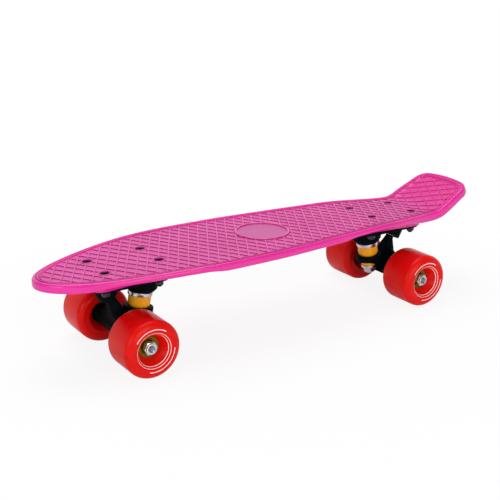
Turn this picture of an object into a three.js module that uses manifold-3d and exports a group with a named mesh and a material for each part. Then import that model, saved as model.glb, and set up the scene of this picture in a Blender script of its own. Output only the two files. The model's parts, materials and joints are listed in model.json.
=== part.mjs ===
// Cruiser skateboard: a moulded plastic deck with a kicked tail on two sprung trucks and four wheels.
// Millimetres, +Z up, the nose points to -X and the tail to +X, and the wheels stand on z = 0.
// Left is the rider's left when looking at the nose, which is -Y.

import * as THREE from 'three';
import { mergeVertices } from 'three/addons/utils/BufferGeometryUtils.js';
import { ConvexGeometry } from 'three/addons/geometries/ConvexGeometry.js';
import Module from 'manifold-3d';

const wasm = await Module();
wasm.setup();

// Deck, in plan
const deckLength = 539.6;
const deckHalfWidth = 71.8;
const noseToTruck = 95;
const truckSpacing = 336;
const widestShare = 0.3353;
const noseBluntnessShare = 1.66;
const tailEdgeRadius = 160;
const tailCornerRadius = 17.5;
const tailHalfWidth = 41.3;
// Each row is a share of the flat length from the nose and a share of the greatest half width.
const sideShares = [
  [0.4505, 0.984],
  [0.5464, 0.925],
  [0.6428, 0.852],
  [0.7361, 0.775],
  [0.8011, 0.692],
  [0.864, 0.605],
  [0.9097, 0.619],
];

// Deck, from the side: level in the middle, and sagging from there towards the nose and the tail
const fieldHeight = 100.1;
const levelReach = 118;
const noseSag = 5.1;
const noseSagReach = 258;
const tailSag = 3.1;
const tailSagReach = 208;
const kickStart = 42.3;
const kickRadius = 38;
const kickAngle = THREE.MathUtils.degToRad(26.6);
const plateThickness = 4;
const skirtWall = 7;
const noseEdgeDepth = 9.5;
const wheelEdgeDepth = 6.5;
const middleEdgeDepth = 8.5;
const tailEdgeDepth = 10.5;
const middleEdgeBlend = 24;
const endEdgeBlend = 40;
const noseEdgeReach = 14;
const frontArchReach = 66;
const rearArchReach = 88;
const tailEdgeReach = 28;

// Rim: a rounded lip, a groove, a flat band, then the step down to the field
const rimRise = 1.3;
const lipRadius = 3;
const lowerEdgeRadius = 2.4;
const grooveWidth = 1.3;
const grooveDepth = 0.8;
const bandWidth = 3.2;
const stepWidth = 0.8;

// Round plaque in the middle of the deck
const plaqueRadius = 29.8;
const plaqueBead = 2.6;
const plaqueBeadRise = 1;
const plaqueFaceRise = 0.3;

// Waffle grip: two families of low ridges, one to each side of the board's length
const ridgePitch = 30.48;
const ridgePhase = -4.56;
const ridgeAngle = THREE.MathUtils.degToRad(30);
const ridgeRise = 0.8;
const ridgeFoot = 2.4;
const ridgeRoot = 0.4;
const boltIslandRadius = 6.5;

// Underside
const padLength = 86;
const padWidth = 58;
const padCorner = 11;
const ribWidth = 3;
const ribSpacing = 44;
const ribPitch = 26;
const crossRibCount = 5;
const ribSetback = 0.4;

// Trucks: u runs outwards along the board from the bolt pattern's centre. The mounting face lies below the
// field by the pad's drop, and the other drops are from the mounting face.
const padDrop = 16.6;
const boltLong = 59.5;
const boltWide = 41.3;
const flangeLength = 82;
const flangeWidth = 54;
const flangeThickness = 5.5;
const flangeCorner = 10;
const ringReach = -15.2;
const ringDrop = 39.5;
const kingpinLean = THREE.MathUtils.degToRad(9.5);
const pivotReach = 18.5;
const pivotDrop = 17;
const pivotLean = THREE.MathUtils.degToRad(30);
const axleReach = 7.3;

// Kingpin stack, measured along the kingpin from the middle of the hanger's ring
const ringThickness = 6.6;
const ringRadius = 15.5;
const ringBoreRadius = 7.6;
const seatDepth = 1.6;
const upperSeatRadius = 10.2;
const lowerSeatRadius = 9.4;
const nutSweepRadius = 14;
const kingpinRadius = 4.75;
const kingpinTail = 20.6;
const kingpinHeadRadius = 8;
const kingpinHeadHeight = 5.4;
const kingpinShankTop = 32.6;
const upperBushingTop = 17.3;
const upperBushingRadius = 11.7;
const lowerBushingBottom = 11;
const lowerBushingTopRadius = 9.9;
const lowerBushingBottomRadius = 8.2;
const washerThickness = 1.4;
const washerLipWall = 0.8;
const upperLipDrop = 2.5;
const lowerLipRise = 1.6;
const kingpinNutFlats = 14.3;
const kingpinNutHeight = 6.4;
const bossSeatRadius = 13.6;
const bossRadius = 17;
const bossTaper = 4.5;

// Pivot
const pivotNubRadius = 4.8;
const pivotCupRadius = 8;
const pivotCupWall = 1.6;
const pivotCupMouth = 5;
const pivotCupShow = 2.5;
const pivotHousingRadius = 11;
const pivotHousingFoot = 10.5;
const pivotHousingReach = 24;

// Hanger
const hangerHalfWidth = 41.1;
const barrelEndRadius = 10.4;
const barrelMiddleRadius = 10.8;
const barrelMiddleHalf = 16;
const webRadius = 7.4;
const webRingRadius = 12;
const wingHalfWidth = 38;
const wingRadius = 7.5;
const armHalfWidth = 8.5;
const armRadius = 8;
const armReach = 9.5;
const armDrop = 40;

// Axle, wheels and bearings
const axleRadius = 4;
const axleHalfLength = 72.6;
const axleNutFlats = 12.7;
const axleNutHeight = 5.2;
const axleWasherRadius = 6.4;
const axleWasherThickness = 1;
const wheelRadius = 30;
const wheelWidth = 45.2;
const wheelTrack = 108.5;
const treadWidth = 33;
const shoulderDrop = 1.8;
const faceRadius = 24;
const recessRadius = 17.4;
const coreBoreRadius = 8.6;
const bearingRadius = 11;
const bearingInnerRadius = 6.7;
const bearingShieldRadius = 9.4;
const bearingShieldSink = 0.5;
const bearingWidth = 7;
const bearingSpacing = 9.4;
const bearingFromHanger = 0.4;
const sleeveRadius = 6.3;

// Deck bolts and their lock nuts
const boltRadius = 2.4;
const boltHeadRadius = 4.9;
const boltHeadDepth = 2.5;
const boltHeadSink = 0.3;
const boltProtrusion = 1.2;
const boltNutFlats = 8;
const boltNutHeight = 4.8;

// Clearances, one overrun for every cut, and the distance within which corners are one
const seatGap = 0.1;
const fitGap = 0.3;
const overrun = 2;
const weldDistance = 1e-4;

// Facets: the wheel's count is even, so that it stands on a flat
const wheelFacets = 20;
const bearingFacets = 10;
const ringFacets = 16;
const bushingFacets = 10;
const rodFacets = 10;
const boltFacets = 8;
const plaqueFacets = 24;
const noseFacets = 11;
const sideSpacing = 28;
const noseSagSteps = 2;
const tailSagSteps = 2;
const kickSteps = 3;
const cornerFacets = 3;

const paint = {
  deck: { color: 0xe8329c, roughness: 0.35, metalness: 0 },
  casting: { color: 0x141618, roughness: 0.5, metalness: 0.4 },
  steel: { color: 0xc9cdd1, roughness: 0.3, metalness: 1 },
  blackSteel: { color: 0x1b1b1d, roughness: 0.4, metalness: 0.8 },
  urethane: { color: 0xf0a01e, roughness: 0.4, metalness: 0 },
  nylon: { color: 0xf2f0ea, roughness: 0.5, metalness: 0 },
  wheel: { color: 0xd81a12, roughness: 0.25, metalness: 0 },
  shield: { color: 0xb3a13c, roughness: 0.35, metalness: 0.8 },
};

// Worked out from the driving dimensions
const noseX = -deckLength / 2;
const frontTruckX = noseX + noseToTruck;
const rearTruckX = frontTruckX + truckSpacing;
const middleX = (frontTruckX + rearTruckX) / 2;
const kickX = rearTruckX + kickStart;
const kickArc = kickRadius * kickAngle;
const outermostDrop = tailEdgeDepth - rimRise - lowerEdgeRadius;
const kickFlat = (deckLength / 2 - kickX - (kickRadius + outermostDrop) * Math.sin(kickAngle)) / Math.cos(kickAngle);
const tailS = kickX + kickArc + kickFlat;
const flatLength = tailS - noseX;
const widestS = noseX + flatLength * widestShare;
const axleHeight = wheelRadius;
const mountHeight = fieldHeight - padDrop;
const ringHeight = mountHeight - ringDrop;
const pivotHeight = mountHeight - pivotDrop;
const armHeight = mountHeight - armDrop;

// A weld of equal corners that drops flat triangles and turns the faces outwards
function closedMesh(geometry) {
  const bare = geometry.clone();
  for (const name of Object.keys(bare.attributes)) {
    if (name !== 'position') bare.deleteAttribute(name);
  }
  const welded = mergeVertices(bare, weldDistance);
  const corners = welded.getAttribute('position').array;
  const triangles = [];
  for (let i = 0; i < welded.index.count; i += 3) {
    const [a, b, c] = [0, 1, 2].map((k) => welded.index.getX(i + k));
    if (a !== b && b !== c && c !== a) triangles.push(a, b, c);
  }
  if (signedVolume(corners, triangles) < 0) triangles.reverse();
  return { corners: Float32Array.from(corners), triangles: Uint32Array.from(triangles) };
}

function signedVolume(corners, triangles) {
  const [a, b, c] = [new THREE.Vector3(), new THREE.Vector3(), new THREE.Vector3()];
  let volume = 0;
  for (let i = 0; i < triangles.length; i += 3) {
    a.fromArray(corners, triangles[i] * 3);
    b.fromArray(corners, triangles[i + 1] * 3);
    c.fromArray(corners, triangles[i + 2] * 3);
    volume += a.dot(b.cross(c)) / 6;
  }
  return volume;
}

function solid(geometry) {
  const { corners, triangles } = closedMesh(geometry);
  return new wasm.Manifold(new wasm.Mesh({ numProp: 3, vertProperties: corners, triVerts: triangles }));
}

function bufferGeometry(corners, triangles) {
  const geometry = new THREE.BufferGeometry();
  geometry.setAttribute('position', new THREE.BufferAttribute(Float32Array.from(corners), 3));
  geometry.setIndex(Array.from(triangles));
  return geometry;
}

function geometryOf(body) {
  const mesh = body.getMesh();
  return bufferGeometry(mesh.vertProperties, mesh.triVerts);
}

function joined(solids) {
  return solids.reduce((whole, next) => whole.add(next));
}

// A round hole in facets whose flats clear a shaft by the fit gap
function clearRadius(shaftRadius, facets) {
  return (shaftRadius + fitGap) / Math.cos(Math.PI / facets);
}

// A turned solid about its own Y axis, from radius and height pairs that close on themselves
function turned(profile, facets) {
  const points = profile.map(([radius, height]) => new THREE.Vector2(radius, height));
  points.push(points[0].clone());
  return new THREE.LatheGeometry(points, facets, Math.PI / facets);
}

// The same about Z, which is how the kingpin's stack and the bolts stand
function turnedUp(profile, facets) {
  return turned(profile, facets).rotateX(Math.PI / 2);
}

function rod(radius, low, high, facets) {
  return turnedUp([[0, low], [radius, low], [radius, high], [0, high]], facets);
}

function roundedRectangle(length, width, corner) {
  const [x, y] = [length / 2, width / 2];
  const shape = new THREE.Shape();
  shape.moveTo(-x + corner, -y);
  shape.lineTo(x - corner, -y);
  shape.absarc(x - corner, -y + corner, corner, -Math.PI / 2, 0);
  shape.lineTo(x, y - corner);
  shape.absarc(x - corner, y - corner, corner, 0, Math.PI / 2);
  shape.lineTo(-x + corner, y);
  shape.absarc(-x + corner, y - corner, corner, Math.PI / 2, Math.PI);
  shape.lineTo(-x, -y + corner);
  shape.absarc(-x + corner, -y + corner, corner, Math.PI, 3 * Math.PI / 2);
  return shape;
}

// A plate of an outline, between two heights
function plate(shape, low, high, curveSegments = 3) {
  const geometry = new THREE.ExtrudeGeometry(shape, { depth: high - low, bevelEnabled: false, curveSegments });
  return geometry.translate(0, 0, low);
}

function hexNut(flats, low, height, boreRadius, facets = rodFacets) {
  const outside = turnedUp([[0, low], [1, low], [1, low + height], [0, low + height]], 6);
  const cornerRadius = flats / 2 / Math.cos(Math.PI / 6);
  outside.scale(cornerRadius, cornerRadius, 1);
  const bore = rod(clearRadius(boreRadius, facets), low - overrun, low + height + overrun, facets);
  return solid(outside).subtract(solid(bore));
}

function smooth(from, to, value) {
  return THREE.MathUtils.smoothstep(value, from, to);
}

// The deck is shaped flat, as s along the board, y across it and h above its field, and then bent.

// Half of the deck's edge from nose tip to tail tip: place, half width, and the step inwards for 1 mm of inset
function edgePoints() {
  const points = [];
  const noseRun = widestS - noseX;
  for (let i = 0; i < noseFacets; i++) {
    const angle = (Math.PI / 2) * (1 - i / noseFacets);
    const share = Math.sin(angle);
    const width = Math.sqrt(1 - share ** noseBluntnessShare);
    const slope = noseBluntnessShare * share ** (noseBluntnessShare - 1) / (2 * Math.max(width, 1e-9));
    const normal = new THREE.Vector2(slope * deckHalfWidth / noseRun, -1).normalize();
    if (i === 0) normal.set(1, 0);
    points.push({ s: widestS - noseRun * share, y: deckHalfWidth * width, inward: normal });
  }
  const bigCentre = tailS - tailEdgeRadius;
  const lean = Math.asin((tailHalfWidth - tailCornerRadius) / (tailEdgeRadius - tailCornerRadius));
  const cornerS = bigCentre + (tailEdgeRadius - tailCornerRadius) * Math.cos(lean);
  const stations = [[widestS, deckHalfWidth]];
  for (const [along, across] of sideShares) {
    stations.push([noseX + flatLength * along, deckHalfWidth * across]);
  }
  stations.push([cornerS, tailHalfWidth]);
  const side = new THREE.SplineCurve(stations.map(([s, y]) => new THREE.Vector2(s, y)));
  for (const s of sidePlaces(widestS, cornerS)) {
    const { y, slope } = curveAt(side, s);
    points.push({ s, y, inward: new THREE.Vector2(0, -Math.hypot(1, slope)) });
  }
  for (let i = 0; i <= cornerFacets; i++) {
    const angle = THREE.MathUtils.lerp(Math.PI / 2, lean, i / cornerFacets);
    const out = new THREE.Vector2(Math.cos(angle), Math.sin(angle));
    points.push({
      s: cornerS + tailCornerRadius * out.x,
      y: tailHalfWidth - tailCornerRadius + tailCornerRadius * out.y,
      inward: out.negate(),
    });
  }
  points.push({ s: tailS, y: 0, inward: new THREE.Vector2(-1, 0) });
  return points;
}

// Places along a side: the bend stations that lie well inside it, with even steps between them
function sidePlaces(from, to) {
  const inside = bendStations().filter((s) => Math.min(s - from, to - s) > sideSpacing / 4);
  const fixed = [from, ...inside, to];
  const places = [];
  for (let i = 0; i + 1 < fixed.length; i++) {
    const steps = Math.ceil((fixed[i + 1] - fixed[i]) / sideSpacing);
    for (let k = 0; k < steps; k++) places.push(THREE.MathUtils.lerp(fixed[i], fixed[i + 1], k / steps));
  }
  return places;
}

// The height and slope of a left-to-right curve at a place, found by halving
function curveAt(curve, s) {
  let [low, high] = [0, 1];
  for (let i = 0; i < 40; i++) {
    const middle = (low + high) / 2;
    if (curve.getPoint(middle).x < s) low = middle;
    else high = middle;
  }
  const tangent = curve.getTangent(low);
  return { y: curve.getPoint(low).y, slope: tangent.y / tangent.x };
}

// Both halves of the edge, anticlockwise from above
function wholeEdge() {
  const half = edgePoints();
  const mirrored = half.slice(1, -1).map(({ s, y, inward }) => ({
    s, y: -y, inward: new THREE.Vector2(inward.x, -inward.y),
  }));
  return [...mirrored, half[half.length - 1], ...half.slice(1, -1).reverse(), half[0]];
}

// How far the edge reaches below the rim: shallow over the wheels, deeper between them and at both ends
function edgeDepth(s) {
  const front = frontTruckX - axleReach;
  const rear = rearTruckX + axleReach;
  const atNose = 1 - smooth(front - noseEdgeReach - endEdgeBlend, front - noseEdgeReach, s);
  const rise = smooth(front + frontArchReach, front + frontArchReach + middleEdgeBlend, s);
  const fall = 1 - smooth(rear - rearArchReach - middleEdgeBlend, rear - rearArchReach, s);
  const atTail = smooth(rear + tailEdgeReach - endEdgeBlend, rear + tailEdgeReach, s);
  return wheelEdgeDepth + (noseEdgeDepth - wheelEdgeDepth) * atNose
    + (middleEdgeDepth - wheelEdgeDepth) * rise * fall + (tailEdgeDepth - wheelEdgeDepth) * atTail;
}

// The deck's skin as rings of the edge: each ring is an inset and a height that may follow s
function deckShell() {
  const lipInner = lipRadius;
  const bandOuter = lipInner + grooveWidth;
  const bandInner = bandOuter + bandWidth;
  const lower = (s) => rimRise - edgeDepth(s);
  const rings = [
    [bandInner + stepWidth, () => 0],
    [bandInner, () => rimRise],
    [bandOuter, () => rimRise],
    [lipInner + grooveWidth / 2, () => rimRise - grooveDepth],
    [lipInner, () => rimRise],
  ];
  for (const angle of [Math.PI / 4, Math.PI / 2]) {
    rings.push([lipRadius * (1 - Math.sin(angle)), () => rimRise - lipRadius * (1 - Math.cos(angle))]);
  }
  for (const angle of [0, Math.PI / 2]) {
    rings.push([
      lowerEdgeRadius * (1 - Math.cos(angle)),
      (s) => lower(s) + lowerEdgeRadius * (1 - Math.sin(angle)),
    ]);
  }
  rings.push([skirtWall, lower]);
  rings.push([skirtWall + stepWidth, () => -plateThickness]);

  const edge = wholeEdge();
  const corners = [];
  for (const [inset, height] of rings) {
    for (const { s, y, inward } of edge) {
      corners.push(s + inward.x * inset, y + inward.y * inset, height(s));
    }
  }
  const triangles = [];
  const count = edge.length;
  for (let ring = 0; ring + 1 < rings.length; ring++) {
    for (let i = 0; i < count; i++) {
      const [a, b] = [ring * count + i, ring * count + (i + 1) % count];
      triangles.push(b, a, a + count, b, a + count, b + count);
    }
  }
  for (const [ring, flip] of [[0, false], [rings.length - 1, true]]) {
    const start = ring * count;
    const outline = edge.map((_, i) => new THREE.Vector2(corners[(start + i) * 3], corners[(start + i) * 3 + 1]));
    for (const [a, b, c] of THREE.ShapeUtils.triangulateShape(outline, [])) {
      triangles.push(start + a, start + (flip ? c : b), start + (flip ? b : c));
    }
  }
  return bufferGeometry(corners, triangles);
}

// How far the deck sags below its middle
function sagAt(s) {
  const away = Math.abs(s - middleX);
  if (s < middleX) return noseSag * smooth(levelReach, noseSagReach, away);
  return tailSag * smooth(levelReach, tailSagReach, away);
}

// Where the flat deck is creased before it is bent, so that each facet follows the bend
function bendStations() {
  const stations = [];
  for (let i = 0; i <= noseSagSteps; i++) {
    stations.push(middleX - THREE.MathUtils.lerp(levelReach, noseSagReach, i / noseSagSteps));
  }
  for (let i = 0; i <= tailSagSteps; i++) {
    stations.push(middleX + THREE.MathUtils.lerp(levelReach, tailSagReach, i / tailSagSteps));
  }
  for (let i = 0; i <= kickSteps; i++) {
    stations.push(kickX + kickArc * i / kickSteps);
  }
  return stations.sort((a, b) => a - b);
}

// Splits every triangle that crosses the plane at s, sharing the new corners along each edge
function creased({ corners, triangles }, s) {
  const places = Array.from(corners);
  const near = 1e-3;
  const made = new Map();
  for (let i = 0; i < places.length; i += 3) {
    if (Math.abs(places[i] - s) < near) places[i] = s;
  }
  const sideOf = (corner) => Math.sign(places[corner * 3] - s);
  const cornerBetween = (a, b) => {
    const key = a < b ? `${a} ${b}` : `${b} ${a}`;
    if (!made.has(key)) {
      const [first, second] = a < b ? [a, b] : [b, a];
      const share = (s - places[first * 3]) / (places[second * 3] - places[first * 3]);
      made.set(key, places.length / 3);
      for (let k = 0; k < 3; k++) {
        places.push(THREE.MathUtils.lerp(places[first * 3 + k], places[second * 3 + k], share));
      }
    }
    return made.get(key);
  };
  const split = [];
  for (let i = 0; i < triangles.length; i += 3) {
    const ends = [triangles[i], triangles[i + 1], triangles[i + 2]];
    const sides = ends.map(sideOf);
    if (!sides.includes(1) || !sides.includes(-1)) {
      split.push(...ends);
      continue;
    }
    const ring = [];
    for (let k = 0; k < 3; k++) {
      const next = (k + 1) % 3;
      ring.push({ corner: ends[k], side: sides[k] });
      if (sides[k] * sides[next] < 0) ring.push({ corner: cornerBetween(ends[k], ends[next]), side: 0 });
    }
    for (const side of [1, -1]) {
      const kept = ring.filter((end) => end.side !== -side).map((end) => end.corner);
      for (let k = 1; k + 1 < kept.length; k++) split.push(kept[0], kept[k], kept[k + 1]);
    }
  }
  return { corners: places, triangles: split };
}

// Bends the flat deck: it sags towards its ends and turns up into the tail. The feet of the pads stay level.
function bent({ corners, triangles }) {
  const places = Array.from(corners);
  for (let i = 0; i < places.length; i += 3) {
    const [s, h] = [places[i], places[i + 2]];
    const angle = THREE.MathUtils.clamp((s - kickX) / kickRadius, 0, kickAngle);
    const beyond = Math.max(s - kickX - kickArc, 0);
    const before = Math.min(s, kickX);
    places[i] = before + (kickRadius - h) * Math.sin(angle) + beyond * Math.cos(angle);
    const sag = h < -padDrop + seatGap ? 0 : sagAt(s);
    places[i + 2] = fieldHeight - sag + h * Math.cos(angle)
      + kickRadius * (1 - Math.cos(angle)) + beyond * Math.sin(angle);
  }
  return bufferGeometry(places, triangles);
}

function boltPlaces(truckX) {
  const places = [];
  for (const along of [-1, 1]) {
    for (const across of [-1, 1]) {
      places.push(new THREE.Vector3(truckX + along * boltLong / 2, across * boltWide / 2, 0));
    }
  }
  return places;
}

function deckGeometry() {
  let body = solid(deckShell());
  const footRise = stepWidth;
  for (const truckX of [frontTruckX, rearTruckX]) {
    const pad = plate(roundedRectangle(padLength, padWidth, padCorner), -padDrop, -plateThickness + footRise);
    body = body.add(solid(pad.translate(truckX, 0, 0)));
  }
  body = body.add(deckRibs()).add(gripRidges());
  const bead = turnedUp([
    [plaqueRadius - plaqueBead, -plateThickness / 2],
    [plaqueRadius + plaqueBeadRise / 2, -plateThickness / 2],
    [plaqueRadius + plaqueBeadRise / 2, 0],
    [plaqueRadius - plaqueBeadRise / 2, plaqueBeadRise],
    [plaqueRadius - plaqueBead + plaqueBeadRise / 2, plaqueBeadRise],
    [plaqueRadius - plaqueBead, plaqueFaceRise],
  ], plaqueFacets);
  const face = rod(plaqueRadius - plaqueBead / 2, -plateThickness / 2, plaqueFaceRise, plaqueFacets);
  body = body.add(solid(face.translate(middleX, 0, 0))).add(solid(bead.translate(middleX, 0, 0)));
  const holeRadius = clearRadius(boltRadius, boltFacets);
  const sinkRadius = clearRadius(boltHeadRadius, boltFacets);
  const hole = turnedUp([
    [0, -padDrop - overrun],
    [holeRadius, -padDrop - overrun],
    [holeRadius, -boltHeadSink - boltHeadDepth - fitGap],
    [sinkRadius, -boltHeadSink],
    [sinkRadius, overrun],
    [0, overrun],
  ], boltFacets);
  for (const truckX of [frontTruckX, rearTruckX]) {
    for (const place of boltPlaces(truckX)) {
      body = body.subtract(solid(hole.clone().translate(place.x, place.y, 0)));
    }
  }
  const mesh = body.getMesh();
  let flat = { corners: mesh.vertProperties, triangles: mesh.triVerts };
  for (const s of bendStations()) flat = creased(flat, s);
  return bent(flat);
}

// The deck's outline at an inset from its edge
function insetOutline(inset) {
  return new THREE.Shape(wholeEdge().map(({ s, y, inward }) => (
    new THREE.Vector2(s + inward.x * inset, y + inward.y * inset))));
}

// Ribs under the middle of the deck, kept inside the skirt and as deep as it is
function deckRibs() {
  const top = -plateThickness + stepWidth;
  const half = truckSpacing / 2 - padLength / 2 + padCorner;
  const depthRun = middleEdgeBlend;
  const ribs = [];
  const bar = (length, width, x, y) => {
    const steps = Math.ceil(length / depthRun);
    const box = new THREE.BoxGeometry(length, width, 1, steps, 1, 1).translate(x, y, 0);
    const places = box.getAttribute('position');
    for (let i = 0; i < places.count; i++) {
      const foot = Math.min(rimRise - edgeDepth(places.getX(i)) + ribSetback, top - stepWidth);
      places.setZ(i, places.getZ(i) > 0 ? top : foot);
    }
    ribs.push(solid(box));
  };
  for (const side of [-1, 1]) bar(2 * half, ribWidth, middleX, side * ribSpacing / 2);
  for (let i = 0; i < crossRibCount; i++) {
    bar(ribWidth, 2 * deckHalfWidth, middleX + (i - (crossRibCount - 1) / 2) * ribPitch, 0);
  }
  const inside = insetOutline((skirtWall + lipRadius) / 2);
  return joined(ribs).intersect(solid(plate(inside, -padDrop, top + overrun)));
}

// The main ridges of the waffle grip, as low roofs that end at the rim, the plaque and the bolts
function gripRidges() {
  const half = ridgeFoot / 2 * (ridgeRise + ridgeRoot) / ridgeRise;
  const roof = new THREE.Shape([
    new THREE.Vector2(-half, -ridgeRoot), new THREE.Vector2(half, -ridgeRoot), new THREE.Vector2(0, ridgeRise),
  ]);
  const ridges = [];
  for (const angle of [-ridgeAngle, ridgeAngle]) {
    const reach = Math.ceil(deckLength / 2 / ridgePitch);
    for (let i = -reach; i <= reach; i++) {
      const away = ridgePhase + i * ridgePitch;
      const ridge = plate(roof, -deckHalfWidth * 2, deckHalfWidth * 2).rotateX(Math.PI / 2);
      ridges.push(solid(ridge.translate(away, 0, 0).rotateZ(angle)));
    }
  }
  const field = insetOutline(lipRadius + grooveWidth + bandWidth + stepWidth / 2);
  let grip = joined(ridges).intersect(solid(plate(field, -overrun, overrun)));
  const plaque = rod(plaqueRadius - plaqueBead / 2, -overrun, overrun, plaqueFacets);
  grip = grip.subtract(solid(plaque.translate(middleX, 0, 0)));
  for (const place of [...boltPlaces(frontTruckX), ...boltPlaces(rearTruckX)]) {
    const island = rod(boltIslandRadius, -overrun, overrun, boltFacets);
    grip = grip.subtract(solid(island.translate(place.x, place.y, 0)));
  }
  return grip;
}

// Truck pieces are made with the mounting face at z = 0 and the outer end towards +X.
const ringZ = ringHeight - mountHeight + seatGap;
const pivotZ = pivotHeight - mountHeight + seatGap;
const axleZ = axleHeight - mountHeight + seatGap;

// Places a piece made along Z on the kingpin, whose lower end leans outwards
function onKingpin(geometry) {
  return geometry.rotateY(-kingpinLean).translate(ringReach, 0, ringZ);
}

// Places a piece made along Z on the pivot, whose upper end leans outwards
function onPivot(geometry) {
  return geometry.rotateY(pivotLean).translate(pivotReach, 0, pivotZ);
}

function pointsOf(geometry) {
  const places = geometry.getAttribute('position');
  return Array.from({ length: places.count }, (_, i) => new THREE.Vector3().fromBufferAttribute(places, i));
}

function hullOf(...geometries) {
  return solid(new ConvexGeometry(geometries.flatMap(pointsOf)));
}

const socketRadius = (pivotNubRadius + fitGap) / Math.cos(Math.PI / bushingFacets) ** 2;
const pivotCupTop = socketRadius + pivotCupWall;
const upperWasherTop = upperBushingTop + fitGap + washerThickness;
const lowerWasherBottom = lowerBushingBottom + fitGap + washerThickness;

function baseplateGeometry() {
  const flange = solid(plate(roundedRectangle(flangeLength, flangeWidth, flangeCorner), -flangeThickness, 0));
  const seat = upperWasherTop + fitGap;
  const bossTop = (-ringZ - flangeThickness / 2) / Math.cos(kingpinLean);
  const boss = turnedUp([
    [0, seat],
    [bossSeatRadius, seat],
    [bossRadius, seat + bossTaper],
    [bossRadius, bossTop],
    [0, bossTop],
  ], ringFacets);
  const housing = hullOf(
    onPivot(rod(pivotHousingRadius, pivotCupShow - pivotCupMouth, pivotCupTop, bushingFacets)),
    rod(pivotHousingFoot, -flangeThickness, -flangeThickness / 2, bushingFacets)
      .translate(pivotHousingReach, 0, 0),
  );
  const under = new THREE.BoxGeometry(2 * flangeLength, 2 * flangeWidth, flangeLength);
  under.translate(0, 0, -flangeLength / 2);
  let body = joined([flange, solid(onKingpin(boss)), housing]).intersect(solid(under));
  const shankHole = rod(clearRadius(kingpinRadius, rodFacets), 0, bossTop + flangeLength, rodFacets);
  const headPocket = rod(
    clearRadius(kingpinHeadRadius, bushingFacets), kingpinShankTop - fitGap, bossTop + flangeLength, bushingFacets);
  const cupHole = rod(clearRadius(pivotCupRadius, bushingFacets), -flangeLength / 2, pivotCupTop + fitGap, bushingFacets);
  body = body.subtract(solid(onKingpin(shankHole))).subtract(solid(onKingpin(headPocket)));
  body = body.subtract(solid(onPivot(cupHole)));
  for (const place of boltPlaces(0)) {
    const hole = rod(clearRadius(boltRadius, boltFacets), -flangeThickness - overrun, overrun, boltFacets);
    body = body.subtract(solid(hole.translate(place.x, place.y, 0)));
  }
  return geometryOf(body);
}

// The round end that turns in the pivot cup, as a profile from its top down to its widest
function domePoints(radius) {
  return [0, 30, 60, 90].map((degrees) => {
    const angle = THREE.MathUtils.degToRad(degrees);
    return [radius * Math.sin(angle), radius * Math.cos(angle)];
  });
}

function pivotCupGeometry() {
  const shell = rod(pivotCupRadius, -pivotCupMouth, pivotCupTop, bushingFacets);
  const socket = turnedUp([
    ...domePoints(socketRadius),
    [pivotCupRadius - pivotCupWall / 2, -pivotCupMouth - fitGap],
    [0, -pivotCupMouth - fitGap],
  ], bushingFacets);
  return geometryOf(solid(onPivot(shell)).subtract(solid(onPivot(socket))));
}

function kingpinGeometry() {
  const shank = rod(kingpinRadius, -kingpinTail, kingpinShankTop + kingpinHeadHeight / 2, rodFacets);
  const head = rod(kingpinHeadRadius, kingpinShankTop, kingpinShankTop + kingpinHeadHeight, 6);
  return geometryOf(solid(onKingpin(shank)).add(solid(onKingpin(head))));
}

function kingpinNutGeometry() {
  const low = -lowerWasherBottom - fitGap - kingpinNutHeight;
  return onKingpin(geometryOf(hexNut(kingpinNutFlats, low, kingpinNutHeight, kingpinRadius)));
}

function upperBushingGeometry() {
  const bore = clearRadius(kingpinRadius, bushingFacets);
  const low = ringThickness / 2 - seatDepth + fitGap;
  const shoulder = ringThickness / 2 + fitGap;
  const foot = upperSeatRadius - fitGap;
  return onKingpin(turnedUp([
    [bore, low],
    [foot, low],
    [foot, shoulder],
    [upperBushingRadius - fitGap / 2, shoulder + seatDepth],
    [upperBushingRadius, (shoulder + upperBushingTop) / 2],
    [upperBushingRadius - fitGap, upperBushingTop - washerThickness],
    [foot, upperBushingTop],
    [bore, upperBushingTop],
  ], bushingFacets));
}

function lowerBushingGeometry() {
  const bore = clearRadius(kingpinRadius, bushingFacets);
  const high = -ringThickness / 2 + seatDepth - fitGap;
  const shoulder = -ringThickness / 2 - fitGap;
  const foot = lowerSeatRadius - fitGap;
  return onKingpin(turnedUp([
    [bore, -lowerBushingBottom],
    [lowerBushingBottomRadius, -lowerBushingBottom],
    [lowerBushingTopRadius, shoulder - seatDepth / 2],
    [foot, shoulder],
    [foot, high],
    [bore, high],
  ], bushingFacets));
}

// A dished washer: its plate lies at one height and its lip reaches back over the bushing
function cupWasherGeometry(plateNear, plateFar, lipEnd, lipRadiusInside) {
  const bore = clearRadius(kingpinRadius, bushingFacets);
  return onKingpin(turnedUp([
    [bore, plateNear],
    [lipRadiusInside, plateNear],
    [lipRadiusInside, lipEnd],
    [lipRadiusInside + washerLipWall, lipEnd],
    [lipRadiusInside + washerLipWall, plateFar],
    [bore, plateFar],
  ], bushingFacets));
}

function upperWasherGeometry() {
  const near = upperBushingTop + fitGap;
  return cupWasherGeometry(near, upperWasherTop, near - upperLipDrop, upperBushingRadius + fitGap);
}

function lowerWasherGeometry() {
  const near = -lowerBushingBottom - fitGap;
  return cupWasherGeometry(near, -lowerWasherBottom, near + lowerLipRise, lowerBushingBottomRadius + 2 * fitGap);
}

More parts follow.
